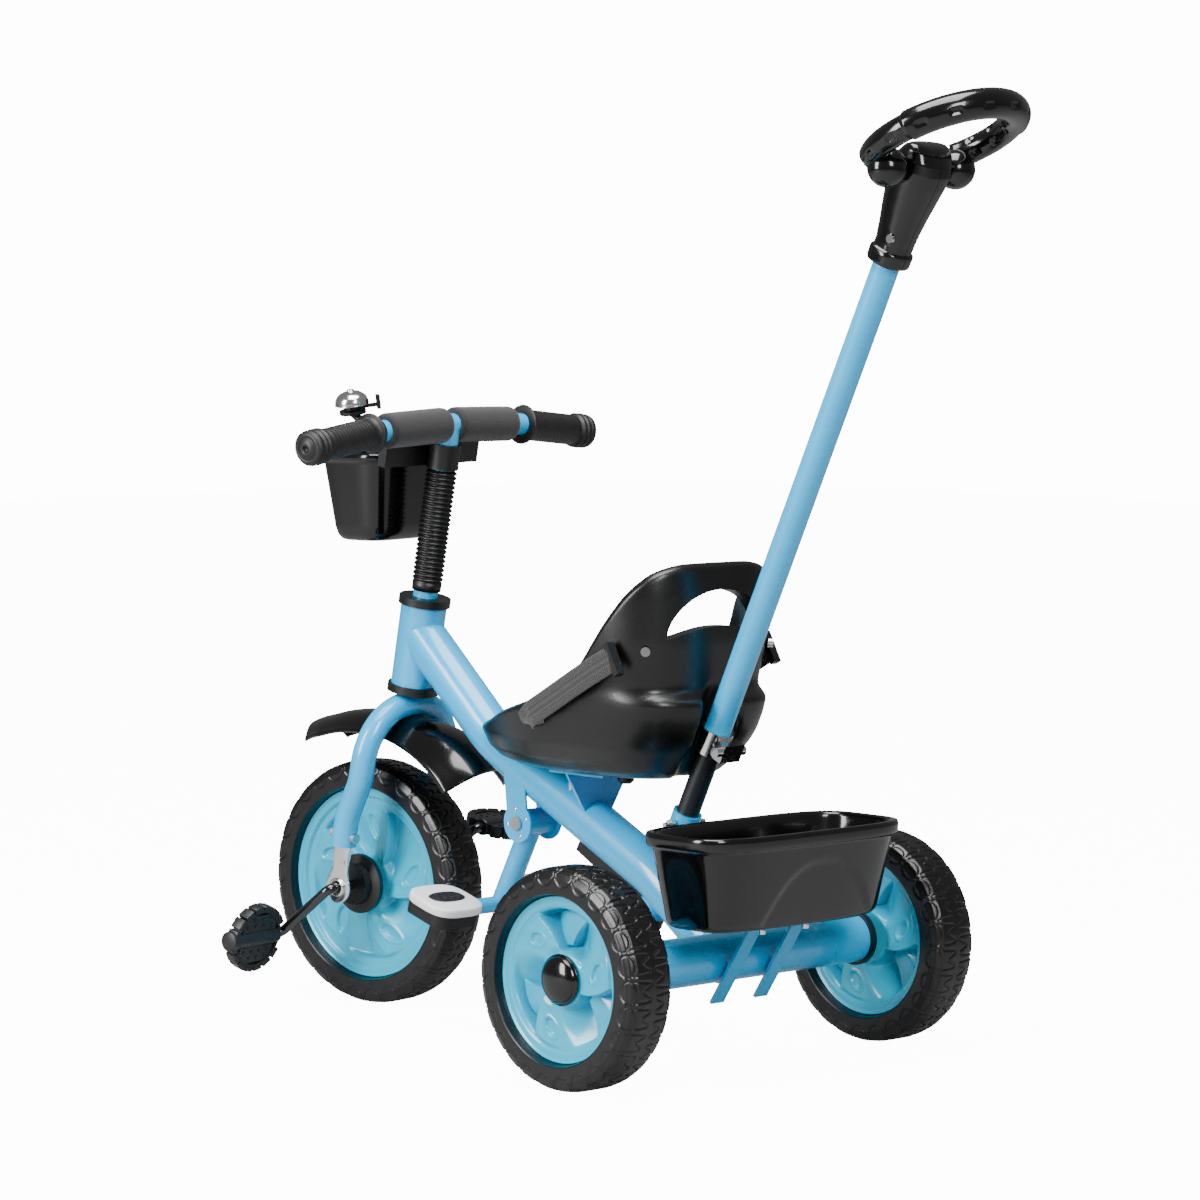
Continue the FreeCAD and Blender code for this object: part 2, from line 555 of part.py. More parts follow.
lean = math.radians(size("steer_tilt"))
offset = size("fork_offset")
axle_rise = size("steer_foot_height") - size("front_tyre_radius")
axle_drop = (axle_rise + offset * math.sin(lean)) / math.cos(lean)
crown_drop = size("fork_radius")
fork_half = size("fork_half")
leg_foot = axle_drop - 44
left_leg = [Vector(fork_half, -offset, -leg_foot), Vector(fork_half, -offset, -leg_foot + 28),
            Vector(fork_half, 0, -leg_foot + 70), Vector(fork_half, 0, -crown_drop)]
fork_route = left_leg + [Vector(-spot.x, spot.y, spot.z) for spot in reversed(left_leg)]
fork_radii = [60, 60, 56, 56, 60, 60]
fork_solid = bent_rod(fork_route, fork_radii, size("fork_radius"))
fork_shape = fork_solid.cut(bent_rod(fork_route, fork_radii, size("fork_radius") - size("tube_wall")))
steerer_solid = Part.makeCylinder(size("steerer_radius"), size("bar_height"))
bar_centre = Vector(0, 0, size("bar_height"))
bar_knee = Vector(size("bar_bend"), 0, size("bar_height") - size("bar_drop"))
bar_tip = Vector(size("bar_half"), size("bar_sweep"), size("bar_height") - size("bar_end_drop"))
bar_route = [bar_tip, bar_knee, bar_centre, Vector(-bar_knee.x, bar_knee.y, bar_knee.z),
             Vector(-bar_tip.x, bar_tip.y, bar_tip.z)]
bar_radii = [60, 60, 60]
bar_solid = bent_rod(bar_route, bar_radii, size("bar_radius"))
bar_shape = bar_solid.cut(bent_rod(bar_route, bar_radii, size("bar_radius") - size("tube_wall")))
steerer_hollow = Part.makeCylinder(size("steerer_radius") - size("tube_wall"), size("bar_height"))
stem = steerer_solid.cut(steerer_hollow).cut(fork_solid).cut(bar_solid)

# The axle plates are pressed into the open ends of the fork legs and held by a bolt each.
bolt_drop = leg_foot - 10
shanks = [bar_between(Vector(side * fork_half, -offset - 14, -bolt_drop),
                      Vector(side * fork_half, -offset + 14, -bolt_drop), size("screw_radius"))
          for side in (1, -1)]
dropouts = []
fork_bolts = []
for side, shank in zip((1, -1), shanks):
    plate_thick = size("dropout_thickness")
    plate_face = side * fork_half - plate_thick / 2
    lobe = Part.makeCylinder(size("dropout_radius"), plate_thick,
                             Vector(plate_face, -offset, -axle_drop), X_AXIS)
    neck = Part.makeBox(plate_thick, 22, axle_drop - leg_foot, Vector(plate_face, -offset - 11, -axle_drop))
    plug = Part.makeCylinder(size("fork_radius") - size("tube_wall"), 18,
                             Vector(side * fork_half, -offset, -leg_foot))
    bore = Part.makeCylinder(size("crank_radius") + size("bore_gap"), 20,
                             Vector(side * fork_half - 10, -offset, -axle_drop), X_AXIS)
    dropouts.append(lobe.fuse([neck, plug]).cut(bore).cut(shank).removeSplitter())
    head = Part.makeCylinder(5.5, 4, Vector(side * fork_half, -offset + 12, -bolt_drop), Y_AXIS)
    nut = Part.makeCylinder(5.5, 4, Vector(side * fork_half, -offset - 16, -bolt_drop), Y_AXIS)
    fork_bolts.append(shank.fuse([head.cut(fork_solid), nut.cut(fork_solid)]).removeSplitter())
sub_part("fork", feature("fork_shape", fork_shape.cut(Part.makeCompound(shanks))), column)
sub_part("fork_dropouts", feature("dropouts_shape", Part.makeCompound(dropouts)), column)
sub_part("fork_bolts", feature("fork_bolts_shape", Part.makeCompound(fork_bolts)), column)
sub_part("stem_tube", feature("stem_shape", biggest(stem)), column)

# A corrugated plastic cover hides the stem between the head tube and the basket bracket.
pitch = size("cover_length") / (size("cover_rings") + 2)
cover_points = [Vector(size("steerer_radius"), 0, 0), Vector(size("cover_radius") - 1.4, 0, 0),
                Vector(size("cover_radius") - 1.4, 0, 2 * pitch)]
for ring_number in range(size("cover_rings")):
    ring_foot = (ring_number + 2) * pitch
    cover_points.append(Vector(size("cover_radius"), 0, ring_foot + 0.5 * pitch))
    cover_points.append(Vector(size("cover_radius") - 1.4, 0, ring_foot + pitch))
cover_points.append(Vector(size("steerer_radius"), 0, size("cover_length")))
cover = Part.Face(Part.makePolygon(cover_points + cover_points[:1])).revolve(ORIGIN, Z_AXIS, 360)
sub_part("stem_cover", feature("stem_cover_shape", cover), up_column(size("cover_foot")))

sub_part("handlebar", feature("handlebar_shape", bar_shape), column)
sleeves = []
for side, name in ((1, "left"), (-1, "right")):
    along = (bar_knee - bar_centre).normalize()
    inner_end = bar_centre + along * size("foam_start")
    outer_end = bar_centre + along * size("foam_end")
    sleeve = bar_between(inner_end, outer_end, size("foam_radius"))
    sleeve = sleeve.makeFillet(4, [e for e in sleeve.Edges if isinstance(e.Curve, Part.Circle)])
    sleeve = sleeve.cut(bar_solid).cut(steerer_solid)
    end_way = (bar_tip - bar_knee).normalize()
    grip_foot = bar_knee + end_way * (size("grip_start") - size("bar_bend"))
    if side < 0:
        sleeve = sleeve.mirror(ORIGIN, X_AXIS)
        end_way.x = -end_way.x
        grip_foot.x = -grip_foot.x
    sleeves.append(sleeve)
    grip = turned(f"grip_{name}_body", [
        ("bar_radius", 0), ("grip_flange_radius", 0), ("grip_flange_radius", 3.5), ("grip_radius", 6),
        ("grip_radius", "grip_length - 22"), ("grip_end_radius", "grip_length - 21"),
        ("grip_end_radius", "grip_length - 4"), ("grip_end_radius - 8", "grip_length + 2"),
        (0, "grip_length + 2"), (0, "grip_length - 1"), ("bar_radius", "grip_length - 1")])
    sub_part(f"grip_{name}", grip, column.multiply(Placement(grip_foot, Rotation(Z_AXIS, end_way))))
sub_part("foam_sleeves", feature("foam_sleeves_shape", Part.makeCompound(sleeves)), column)

# A clip around the stem carries the small front basket on a cross plate.
bracket_up, bracket_tall = 229, 25
bracket_ring = Part.makeCylinder(size("steerer_radius") + 3.5, bracket_tall, Vector(0, 0, bracket_up))
bracket_plate = Part.makeBox(136, 10, bracket_tall, Vector(-68, -25, bracket_up))
bracket_clip = bracket_ring.fuse(bracket_plate).cut(steerer_solid).removeSplitter()
sub_part("basket_bracket", feature("basket_bracket_shape", bracket_clip), column)
pot_half, pot_depth, pot_tall = (size(f"front_basket_{name}") for name in ("half", "depth", "height"))
pot_back, pot_floor = -436, 470
pot_outer = lofted([rounded_ring(pot_half - 12, pot_back - pot_depth + 4, pot_back, pot_floor, 5),
                    rounded_ring(pot_half, pot_back - pot_depth - 8, pot_back, pot_floor + pot_tall, 5)])
pot_inner = lofted([rounded_ring(pot_half - 12 - skin, pot_back - pot_depth + 4 + skin, pot_back - skin,
                                 pot_floor + skin, 5),
                    rounded_ring(pot_half - skin, pot_back - pot_depth - 8 + skin, pot_back - skin,
                                 pot_floor + pot_tall + 1, 5)])
sub_part("front_basket", feature("front_basket_shape", pot_outer.cut(pot_inner)), steer_turn)

# The mudguard arches over the front wheel, under the crown of the fork.
wheel_place = steer_frame.multiply(Placement(Vector(0, -offset, -axle_drop), Rotation()))
wheel_centre = wheel_place.Base
arch_top = axle_drop - 2 * crown_drop - 1.5
arch_side = arch_top - 26
guard_half, guard_skin = 36, 2.5
outer_arch = Part.Arc(Vector(-guard_half, 0, arch_side), Vector(0, 0, arch_top),
                      Vector(guard_half, 0, arch_side))
inner_arch = Part.Arc(Vector(guard_half - guard_skin, 0, arch_side), Vector(0, 0, arch_top - guard_skin),
                      Vector(guard_skin - guard_half, 0, arch_side))
arch_ends = [Part.LineSegment(Vector(side * guard_half, 0, arch_side),
                              Vector(side * (guard_half - guard_skin), 0, arch_side)).toShape()
             for side in (1, -1)]
arch_face = Part.Face(Part.Wire([outer_arch.toShape(), arch_ends[0], inner_arch.toShape(), arch_ends[1]]))
arch_face.rotate(ORIGIN, X_AXIS, 27)
fender = arch_face.revolve(ORIGIN, X_AXIS, -79)
sub_part("front_fender", feature("front_fender_shape", fender),
         steer_turn.multiply(Placement(wheel_centre, Rotation())))

# The bell is clamped beside the left grip, its dome leaning forwards and outwards.
end_way = (bar_tip - bar_knee).normalize()
clamp_foot = bar_knee + end_way * 3
bell_clamp = Part.makeCylinder(size("bar_radius") + 3, 6, clamp_foot, end_way)
dome_foot = Vector(110, -30, size("bar_height") + 18)
bell_way = Vector(0.2, -0.15, 1).normalize()
bell_arm = bar_between(clamp_foot + end_way * 3, dome_foot - bell_way * 9, 4)
bell_disc = Part.makeCylinder(13, 3.5, dome_foot - bell_way * 9, bell_way)
bell_post = Part.makeCylinder(4, 20, dome_foot - bell_way * 9, bell_way)
bell_base = bell_clamp.fuse([bell_arm, bell_disc, bell_post]).cut(bar_solid).removeSplitter()
sub_part("bell_base", feature("bell_base_shape", bell_base), column)
bell_place = column.multiply(Placement(dome_foot, Rotation(Z_AXIS, bell_way)))
sub_part("bell_dome", turned("bell_dome_body", [
    ("bell_radius", 0), ("bell_radius", 6), ("bell_radius - 4", 11.5), (4, 13.5), (4, 12),
    ("bell_radius - 5", 10), ("bell_radius - 1.4", 5.5), ("bell_radius - 1.4", 0)]), bell_place)
lever_ring = Part.makeCylinder(8, 3, Vector(0, 0, -4.6)).cut(Part.makeCylinder(4.1, 3, Vector(0, 0, -4.6)))
lever_arm = Part.makeBox(21, 6, 3, Vector(6, -3, -4.6))
lever_thumb = Part.makeBox(3.5, 11, 13, Vector(24, -5.5, -7))
lever_shape = lever_ring.fuse([lever_arm, lever_thumb]).removeSplitter()
sub_part("bell_lever", feature("bell_lever_shape", lever_shape),
         bell_place.multiply(Placement(ORIGIN, Rotation(Z_AXIS, 140))))


# ---- wheels ----------------------------------------------------------------------------------
def tyre(name, radius, width, rim):
    """A foam tyre about its own Z: flat tread, round shoulders and a bore that flares to both sides."""
    half = f"{width} / 2"
    profile = [(f"{rim}", f"{half} - rim_recess"), (f"{rim} + lip_rise", half), (f"{radius} - 11", half),
               (f"{radius} - 5", f"{half} - 3"), (f"{radius} - 1", f"{half} - 9"), (radius, f"{half} - 16")]
    mirrored = [(a, f"-({b})") for a, b in reversed(profile)]
    return turned(name, profile + mirrored)


def rim(name, radius, width, hub_out, hub_in, bore, spokes):
    """A moulded rim about its own Z: band, web, hub and a ring of raised spokes."""
    band = f"{width} / 2 - rim_recess"
    body = turned(name, [(bore, f"-({hub_in})"), ("hub_radius", f"-({hub_in})"), ("hub_radius", -3),
                         (f"{radius} - rim_wall", -3), (f"{radius} - rim_wall", f"-({band})"),
                         (radius, f"-({band})"), (radius, band), (f"{radius} - rim_wall", band),
                         (f"{radius} - rim_wall", 3), ("hub_radius", 3), ("hub_radius", hub_out),
                         (bore, hub_out)])
    spoke = outline_sketch(body, "XY_Plane", [("hub_radius - 2", -11), (f"{radius} - 2.5", -17),
                                              (f"{radius} - 2.5", 17), ("hub_radius - 2", 11)])
    pad = body.newObject("PartDesign::Pad", f"{name}_spoke")
    pad.Profile = spoke
    pad.Length = 20
    pad.Midplane = True
    doc.recompute()
    ring = body.newObject("PartDesign::PolarPattern", f"{name}_spokes")
    ring.Originals = [pad]
    ring.Axis = (spoke, ["N_Axis"])
    ring.Angle = 360
    ring.setExpression("Occurrences", bound(spokes))
    body.Tip = ring
    return body


front_wheel = steer_turn.multiply(Placement(wheel_centre, ACROSS))
sub_part("front_tyre", tyre("front_tyre_body", "front_tyre_radius", "front_tyre_width", "front_rim_radius"),
         front_wheel)
sub_part("front_rim", rim("front_rim_body", "front_rim_radius", "front_tyre_width", 26, 26, "crank_radius",
                          "front_spokes"),
         front_wheel)
flanges = []
for side in (1, -1):
    flange = turned(f"hub_flange_{'left' if side > 0 else 'right'}", [
        ("crank_radius", 26), ("front_flange_radius", 26), ("front_flange_radius", 31),
        ("front_flange_radius - 9", 33), ("front_flange_radius - 10", "26 + front_flange_depth"),
        ("crank_radius", "26 + front_flange_depth")])
    flange.Placement = Placement(ORIGIN, Rotation(X_AXIS, 0 if side > 0 else 180))
    flanges.append(flange)
sub_part("front_hub_flanges", joined("hub_flanges", flanges), front_wheel)

# One bent rod is the front axle, both cranks and both pedal spindles.
throw = size("crank_throw")
crank_slope = math.radians(size("crank_angle"))
crank_way = Vector(0, -math.cos(crank_slope), -math.sin(crank_slope))
half_crank = [X_AXIS * size("crank_knee"), X_AXIS * size("crank_elbow") + crank_way * throw,
              X_AXIS * size("crank_reach") + crank_way * throw]
crank_route = [spot * -1 for spot in reversed(half_crank)] + half_crank
crank = bent_rod(crank_route, [8, 9, 9, 8], size("crank_radius"))
crank_place = steer_turn.multiply(Placement(wheel_centre, Rotation()))
sub_part("crank_rod", feature("crank_rod_shape", crank), crank_place)

for side, name, pitch_angle in ((1, "left", 74), (-1, "right", -12)):
    radius, thick = size("pedal_radius"), size("pedal_height")
    disc = Part.makeCylinder(radius, thick, Vector(0, 0, -thick / 2))
    gap = Part.makeCylinder(radius - 8, thick, Vector(0, 0, -thick / 2))
    gap = gap.cut(Part.makeCylinder(radius - 12, thick, Vector(0, 0, -thick / 2)))
    gap = gap.cut(Part.makeBox(22, 2 * radius, thick, Vector(-11, -radius, -thick / 2)))
    half_barrel = size("pedal_barrel_length") / 2
    barrel = bar_between(X_AXIS * -half_barrel, X_AXIS * (half_barrel + 3), size("pedal_barrel_radius"))
    bore_start = X_AXIS * -half_barrel
    bore_end = X_AXIS * (size("crank_reach") - size("pedal_middle") + 1)
    bore = bar_between(bore_start, bore_end, size("crank_radius") + size("bore_gap"))
    notch = bar_between(X_AXIS * -50, X_AXIS * (1 - half_barrel), size("pedal_barrel_radius") + 2)
    pedal = disc.cut(gap).cut(notch).fuse(barrel).cut(bore).removeSplitter()
    if side < 0:
        pedal = pedal.mirror(ORIGIN, X_AXIS)
    spot = (X_AXIS * size("pedal_middle") + crank_way * throw) * side
    sub_part(f"pedal_{name}", feature(f"pedal_{name}_shape", pedal),
             crank_place.multiply(Placement(spot, Rotation(X_AXIS, pitch_angle))))

for side, name in ((1, "left"), (-1, "right")):
    wheel = Placement(rear_axle + X_AXIS * side * size("track_half"), Rotation(Y_AXIS, 90 * side))
    sub_part(f"rear_tyre_{name}", tyre(f"rear_tyre_{name}_body", "rear_tyre_radius", "rear_tyre_width",
                                       "rear_rim_radius"), wheel)
    sub_part(f"rear_rim_{name}", rim(f"rear_rim_{name}_body", "rear_rim_radius", "rear_tyre_width", 17, 30,
                                     "axle_radius + bore_gap", "rear_spokes"), wheel)
    cap = turned(f"rear_cap_{name}_body", [
        (0, 19.5), ("axle_radius + 1", 19.5), ("axle_radius + 1", 17), ("rear_cap_radius", 17),
        ("rear_cap_radius", 19), ("rear_cap_radius - 5", 24), ("rear_cap_radius - 14", 27.2), (0, 28)])
    sub_part(f"rear_cap_{name}", cap, wheel)

# ---- footrest ----------------------------------------------------------------------------------
# The folding footrest: a barrel on the hinge bolt, a down tube, a cross bar and two pads.
reach = size("footrest_reach")
barrel_half = size("hinge_plate_half") - 0.5
barrel = bar_between(X_AXIS * -barrel_half, X_AXIS * barrel_half, 13)
down = bar_between(ORIGIN, Z_AXIS * -reach, size("footrest_tube_radius"))
cross = bar_between(Vector(-88, 0, -reach), Vector(88, 0, -reach), 8)
pivot = bar_between(X_AXIS * -barrel_half, X_AXIS * barrel_half, size("hinge_pin_radius") + size("bore_gap"))
footrest = barrel.fuse([down, cross]).cut(pivot).removeSplitter()
footrest_place = Placement(hinge_centre, Rotation(X_AXIS, -size("footrest_lean")))
sub_part("footrest_tube", feature("footrest_tube_shape", footrest), footrest_place)
pad_bases, pad_covers = [], []
for side in (1, -1):
    left = size("pad_inner") if side > 0 else -size("pad_inner") - size("pad_width")
    width, depth = size("pad_width"), size("pad_depth")
    cover_block = Part.makeBox(width, depth, size("pad_cover"), Vector(left, -depth / 2, size("pad_base")))
    upright = [e for e in cover_block.Edges if abs(e.tangentAt(e.FirstParameter).z) > 0.9]
    pad_covers.append(cover_block.makeFillet(16, upright))
    base_block = Part.makeBox(width - 6, depth - 6, size("pad_base"), Vector(left + 3, -depth / 2 + 3, 0))
    upright = [e for e in base_block.Edges if abs(e.tangentAt(e.FirstParameter).z) > 0.9]
    pad_bases.append(base_block.makeFillet(13, upright))
cross_place = footrest_place.multVec(Vector(0, 0, -reach))
pad_place = Placement(cross_place + Vector(0, -11.6, -8), Rotation(X_AXIS, -size("footrest_pitch")))
cross_solid = bar_between(Vector(-88, 0, -reach), Vector(88, 0, -reach), 8)
cross_solid.Placement = pad_place.inverse().multiply(footrest_place)
bases = Part.makeCompound([base.cut(cross_solid) for base in pad_bases])
sub_part("footrest_pad_bases", feature("pad_bases_shape", bases), pad_place)
covers = Part.makeCompound([pad.cut(cross_solid) for pad in pad_covers])
sub_part("footrest_pad_covers", feature("pad_covers_shape", covers), pad_place)

# ---- check and write ---------------------------------------------------------------------------
to_origin = Placement(Vector(0, size("rear_axle_shift"), 0), Rotation())
for piece in sub_parts:
    piece.Placement = to_origin.multiply(piece.Placement)
doc.recompute()
for item in doc.Objects:
    if "Invalid" in item.State or "Error" in item.State:
        raise RuntimeError(f"{item.Name} failed to compute")
os.makedirs("parts", exist_ok=True)
for piece in sub_parts:
    if piece.Shape.isNull() or not piece.Shape.isValid():
        raise RuntimeError(f"{piece.Label} has no valid shape")
    piece.Shape.exportStep(f"parts/{piece.Label}.step")
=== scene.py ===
import json
import math

import bmesh
import bpy
from mathutils import Matrix, Vector


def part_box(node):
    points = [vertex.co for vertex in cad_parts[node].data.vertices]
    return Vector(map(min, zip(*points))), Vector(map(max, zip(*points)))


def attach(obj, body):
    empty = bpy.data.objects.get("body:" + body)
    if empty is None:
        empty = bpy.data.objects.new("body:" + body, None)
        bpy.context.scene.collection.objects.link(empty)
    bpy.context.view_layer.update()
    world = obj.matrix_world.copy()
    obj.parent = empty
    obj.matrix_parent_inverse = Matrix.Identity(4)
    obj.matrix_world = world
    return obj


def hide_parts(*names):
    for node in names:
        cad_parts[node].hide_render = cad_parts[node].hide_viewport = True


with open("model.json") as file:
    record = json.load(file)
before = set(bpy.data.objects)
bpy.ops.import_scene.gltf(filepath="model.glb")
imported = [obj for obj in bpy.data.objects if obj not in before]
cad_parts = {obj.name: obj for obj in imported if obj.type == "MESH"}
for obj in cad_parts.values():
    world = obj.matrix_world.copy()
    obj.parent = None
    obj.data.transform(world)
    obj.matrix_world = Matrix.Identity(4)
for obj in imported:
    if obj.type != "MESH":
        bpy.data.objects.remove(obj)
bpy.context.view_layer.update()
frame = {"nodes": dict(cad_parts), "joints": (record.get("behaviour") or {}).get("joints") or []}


# ---- Studio ------------------------------------------------------------------------------
# A pale seamless floor under plain softboxes, with the camera low behind the rider's left
# shoulder, as a catalogue view is taken.
def linear(code):
    """An sRGB hex colour as linear RGBA."""
    values = [int(code[i:i + 2], 16) / 255 for i in (1, 3, 5)]
    return (*[v / 12.92 if v <= 0.04045 else ((v + 0.055) / 1.055) ** 2.4 for v in values], 1.0)


def node(tree, kind, inputs=None, **settings):
    """One shader node with its settings, and its sockets linked or set."""
    made = tree.nodes.new("ShaderNode" + kind)
    for name, value in settings.items():
        setattr(made, name, value)
    for name, value in (inputs or {}).items():
        if isinstance(value, bpy.types.NodeSocket):
            tree.links.new(value, made.inputs[name])
        else:
            made.inputs[name].default_value = value
    return made


def new_material(name, **sockets):
    """A material with one Principled shader; returns the material, its tree and the shader."""
    mat = bpy.data.materials.new(name)
    mat.use_nodes = True
    tree = mat.node_tree
    shader = next(n for n in tree.nodes if n.type == "BSDF_PRINCIPLED")
    for socket, value in sockets.items():
        shader.inputs[socket.replace("_", " ")].default_value = value
    return mat, tree, shader


CAMERA_AZIMUTH = math.radians(135.89)
CAMERA_HEIGHT = math.radians(4.034)
CAMERA_ROLL = math.radians(0.312)
CAMERA_DISTANCE = 4.27751
view = Vector((math.cos(CAMERA_HEIGHT) * -math.sin(CAMERA_AZIMUTH),
               math.cos(CAMERA_HEIGHT) * math.cos(CAMERA_AZIMUTH), -math.sin(CAMERA_HEIGHT)))
across = view.cross(Vector((0, 0, 1))).normalized()
upward = across.cross(view)
right = across * math.cos(CAMERA_ROLL) + upward * math.sin(CAMERA_ROLL)
above = upward * math.cos(CAMERA_ROLL) - across * math.sin(CAMERA_ROLL)
aim = Vector((0, -0.053, 0.35)) + right * 0.01513 + above * 0.07282
camera_data = bpy.data.cameras.new("camera")
camera_data.lens = 133.67
camera_data.sensor_width = 36
camera_data.clip_end = 60
camera = bpy.data.objects.new("camera", camera_data)
bpy.context.collection.objects.link(camera)
turn = Matrix((right, above, -view)).transposed().to_4x4()
camera.matrix_world = Matrix.Translation(aim - view * CAMERA_DISTANCE) @ turn
bpy.context.scene.camera = camera

# The white backdrop is bright behind the object, and gives the object only a faint fill.
world = bpy.data.worlds.new("studio")
world.use_nodes = True
sky = world.node_tree
backdrop = sky.nodes["Background"]
backdrop.inputs["Color"].default_value = linear("#FFFFFF")
seen = node(sky, "LightPath").outputs["Is Camera Ray"]
glow = node(sky, "MapRange", {"Value": seen, "To Min": 0.22, "To Max": 14.0})
sky.links.new(glow.outputs["Result"], backdrop.inputs["Strength"])
bpy.context.scene.world = world


def softbox(name, place, aim_at, width, height, power):
    """A rectangular soft light."""
    light = bpy.data.lights.new(name, "AREA")
    light.shape = "RECTANGLE"
    light.size = width
    light.size_y = height
    light.energy = power
    lamp = bpy.data.objects.new(name, light)
    bpy.context.collection.objects.link(lamp)
    way = (Vector(aim_at) - Vector(place)).to_track_quat("-Z", "Y")
    lamp.matrix_world = Matrix.Translation(Vector(place)) @ way.to_matrix().to_4x4()


softbox("softbox_top", (0.4, 0.3, 2.6), (0, 0, 0.3), 1.6, 1.6, 120)
softbox("softbox_left", (2.6, -0.6, 1.3), (0, -0.1, 0.35), 0.8, 1.8, 115)
softbox("softbox_rear", (1.1, 2.8, 1.9), (0, 0, 0.4), 0.8, 1.4, 70)

# The floor looks overexposed white to the camera. To every other ray it is a mid grey card
# that throws little light back up, so the blacks stay black.
floor_bm = bmesh.new()
bmesh.ops.create_grid(floor_bm, x_segments=1, y_segments=1, size=9)
floor_mesh = bpy.data.meshes.new("floor")
floor_bm.to_mesh(floor_mesh)
floor_bm.free()
floor = bpy.data.objects.new("floor", floor_mesh)
bpy.context.collection.objects.link(floor)
floor_paint, floor_tree, floor_shader = new_material("matt_white_card", Roughness=0.9)
floor_noise = node(floor_tree, "TexNoise", {"Scale": 3.0})
floor_mix = node(floor_tree, "Mix", {0: floor_noise.outputs["Fac"], 6: linear("#9C9C9C"),
                                     7: linear("#A4A4A4")}, data_type="RGBA")
floor_tree.links.new(floor_mix.outputs[2], floor_shader.inputs["Base Color"])
floor_shader.inputs["Emission Color"].default_value = linear("#FFFFFF")
floor_seen = node(floor_tree, "LightPath").outputs["Is Camera Ray"]
floor_glow = node(floor_tree, "MapRange", {"Value": floor_seen, "To Min": 0.04, "To Max": 13.0})
floor_tree.links.new(floor_glow.outputs["Result"], floor_shader.inputs["Emission Strength"])
floor.data.materials.append(floor_paint)


# ---- Steel frame -------------------------------------------------------------------------
# Round steel tube, bent, mitred and welded, then powder coated light blue: an even glossy
# skin with a faint orange-peel ripple. The same coat is on every blue tube.
def plain_nodes(names, mat):
    """Gives carried frame pieces one material."""
    for name in names:
        piece = frame["nodes"][name]
        piece.data.materials.clear()
        piece.data.materials.append(mat)


def coords(tree):
    """The Object coordinates of a material."""
    return node(tree, "TexCoord").outputs["Object"]


def speckle(tree, shader, low, high, scale, bump, depth=0.0003, rough=None):
    """Blends two close colours by a noise of the given grain, and bumps the surface with it."""
    place = coords(tree)
    wide = node(tree, "TexNoise", {"Vector": place, "Scale": scale * 0.06, "Detail": 3.0})
    mix = node(tree, "Mix", {0: wide.outputs["Fac"], 6: low, 7: high}, data_type="RGBA")
    tree.links.new(mix.outputs[2], shader.inputs["Base Color"])
    fine = node(tree, "TexNoise", {"Vector": place, "Scale": scale, "Detail": 2.0})
    relief = node(tree, "Bump", {"Height": fine.outputs["Fac"], "Strength": bump, "Distance": depth})
    tree.links.new(relief.outputs["Normal"], shader.inputs["Normal"])
    if rough:
        spread = node(tree, "MapRange", {"Value": wide.outputs["Fac"], "To Min": rough[0],
                                         "To Max": rough[1]})
        tree.links.new(spread.outputs["Result"], shader.inputs["Roughness"])
    return mix, relief


# Powder coat: a ripple 3 mm across, and a clear gloss on top.
powder_coat, tree, shader = new_material("powder_coat_light_blue", Coat_Weight=0.55,
                                         Coat_Roughness=0.06)
speckle(tree, shader, linear("#00A4DE"), linear("#06ABE5"), 330, 0.12, rough=(0.24, 0.32))
plain_nodes(["main_tube", "head_tube", "axle_tube", "push_socket", "basket_straps", "seat_bracket",
             "footrest_hinge_plates", "fork", "stem_tube", "handlebar", "footrest_tube",
             "push_bar_upper_tube"], powder_coat)
# The inner push tube is coated satin black.
black_coat, tree, shader = new_material("powder_coat_satin_black", Coat_Weight=0.2, Coat_Roughness=0.2)
speckle(tree, shader, linear("#17181A"), linear("#1F2022"), 400, 0.15, rough=(0.32, 0.42))
plain_nodes(["push_bar_lower_tube"], black_coat)
# Bright nickel plate on the bolts, plates and clamp: mirror-like, softened by faint smears.
bright_plate, tree, shader = new_material("nickel_plate", Metallic=1.0)
speckle(tree, shader, linear("#D6D7D9"), linear("#EDEDEE"), 260, 0.05, rough=(0.08, 0.22))
plain_nodes(["push_bar_clamp", "push_bar_screws", "socket_bolt", "trim_screws",
             "seat_bolts"], bright_plate)
# Dull zinc on the hidden axle and pins.
zinc_plate, tree, shader = new_material("zinc_plate", Metallic=1.0)
speckle(tree, shader, linear("#B4B6B9"), linear("#C9CACC"), 500, 0.1, rough=(0.25, 0.4))
plain_nodes(["rear_axle_rod", "footrest_pivot_bolt", "fork_bolts"], zinc_plate)
# Black enamel on the bent crank rod: thick, wet-looking gloss.
black_enamel, tree, shader = new_material("black_enamel", Coat_Weight=0.8, Coat_Roughness=0.04)
speckle(tree, shader, linear("#08080A"), linear("#101113"), 220, 0.08, rough=(0.12, 0.2))
plain_nodes(["crank_rod"], black_enamel)
# Moulded polypropylene fittings: fine spark-eroded grain, 0.6 mm, satin.
satin_black, tree, shader = new_material("moulded_polypropylene_black", IOR=1.49)
speckle(tree, shader, linear("#060607"), linear("#0A0A0B"), 1600, 0.35, 0.0002, (0.36, 0.46))
plain_nodes(["lower_headset_cup", "upper_headset_cup", "axle_end_rings", "seat_knob", "tube_guard",
             "socket_plug", "belt_hooks", "stem_cover", "basket_bracket", "bell_base", "bell_lever",
             "front_hub_flanges", "rear_cap_left", "rear_cap_right", "handle_hub_left",
             "handle_hub_right", "handle_ring", "footrest_pad_bases"], satin_black)


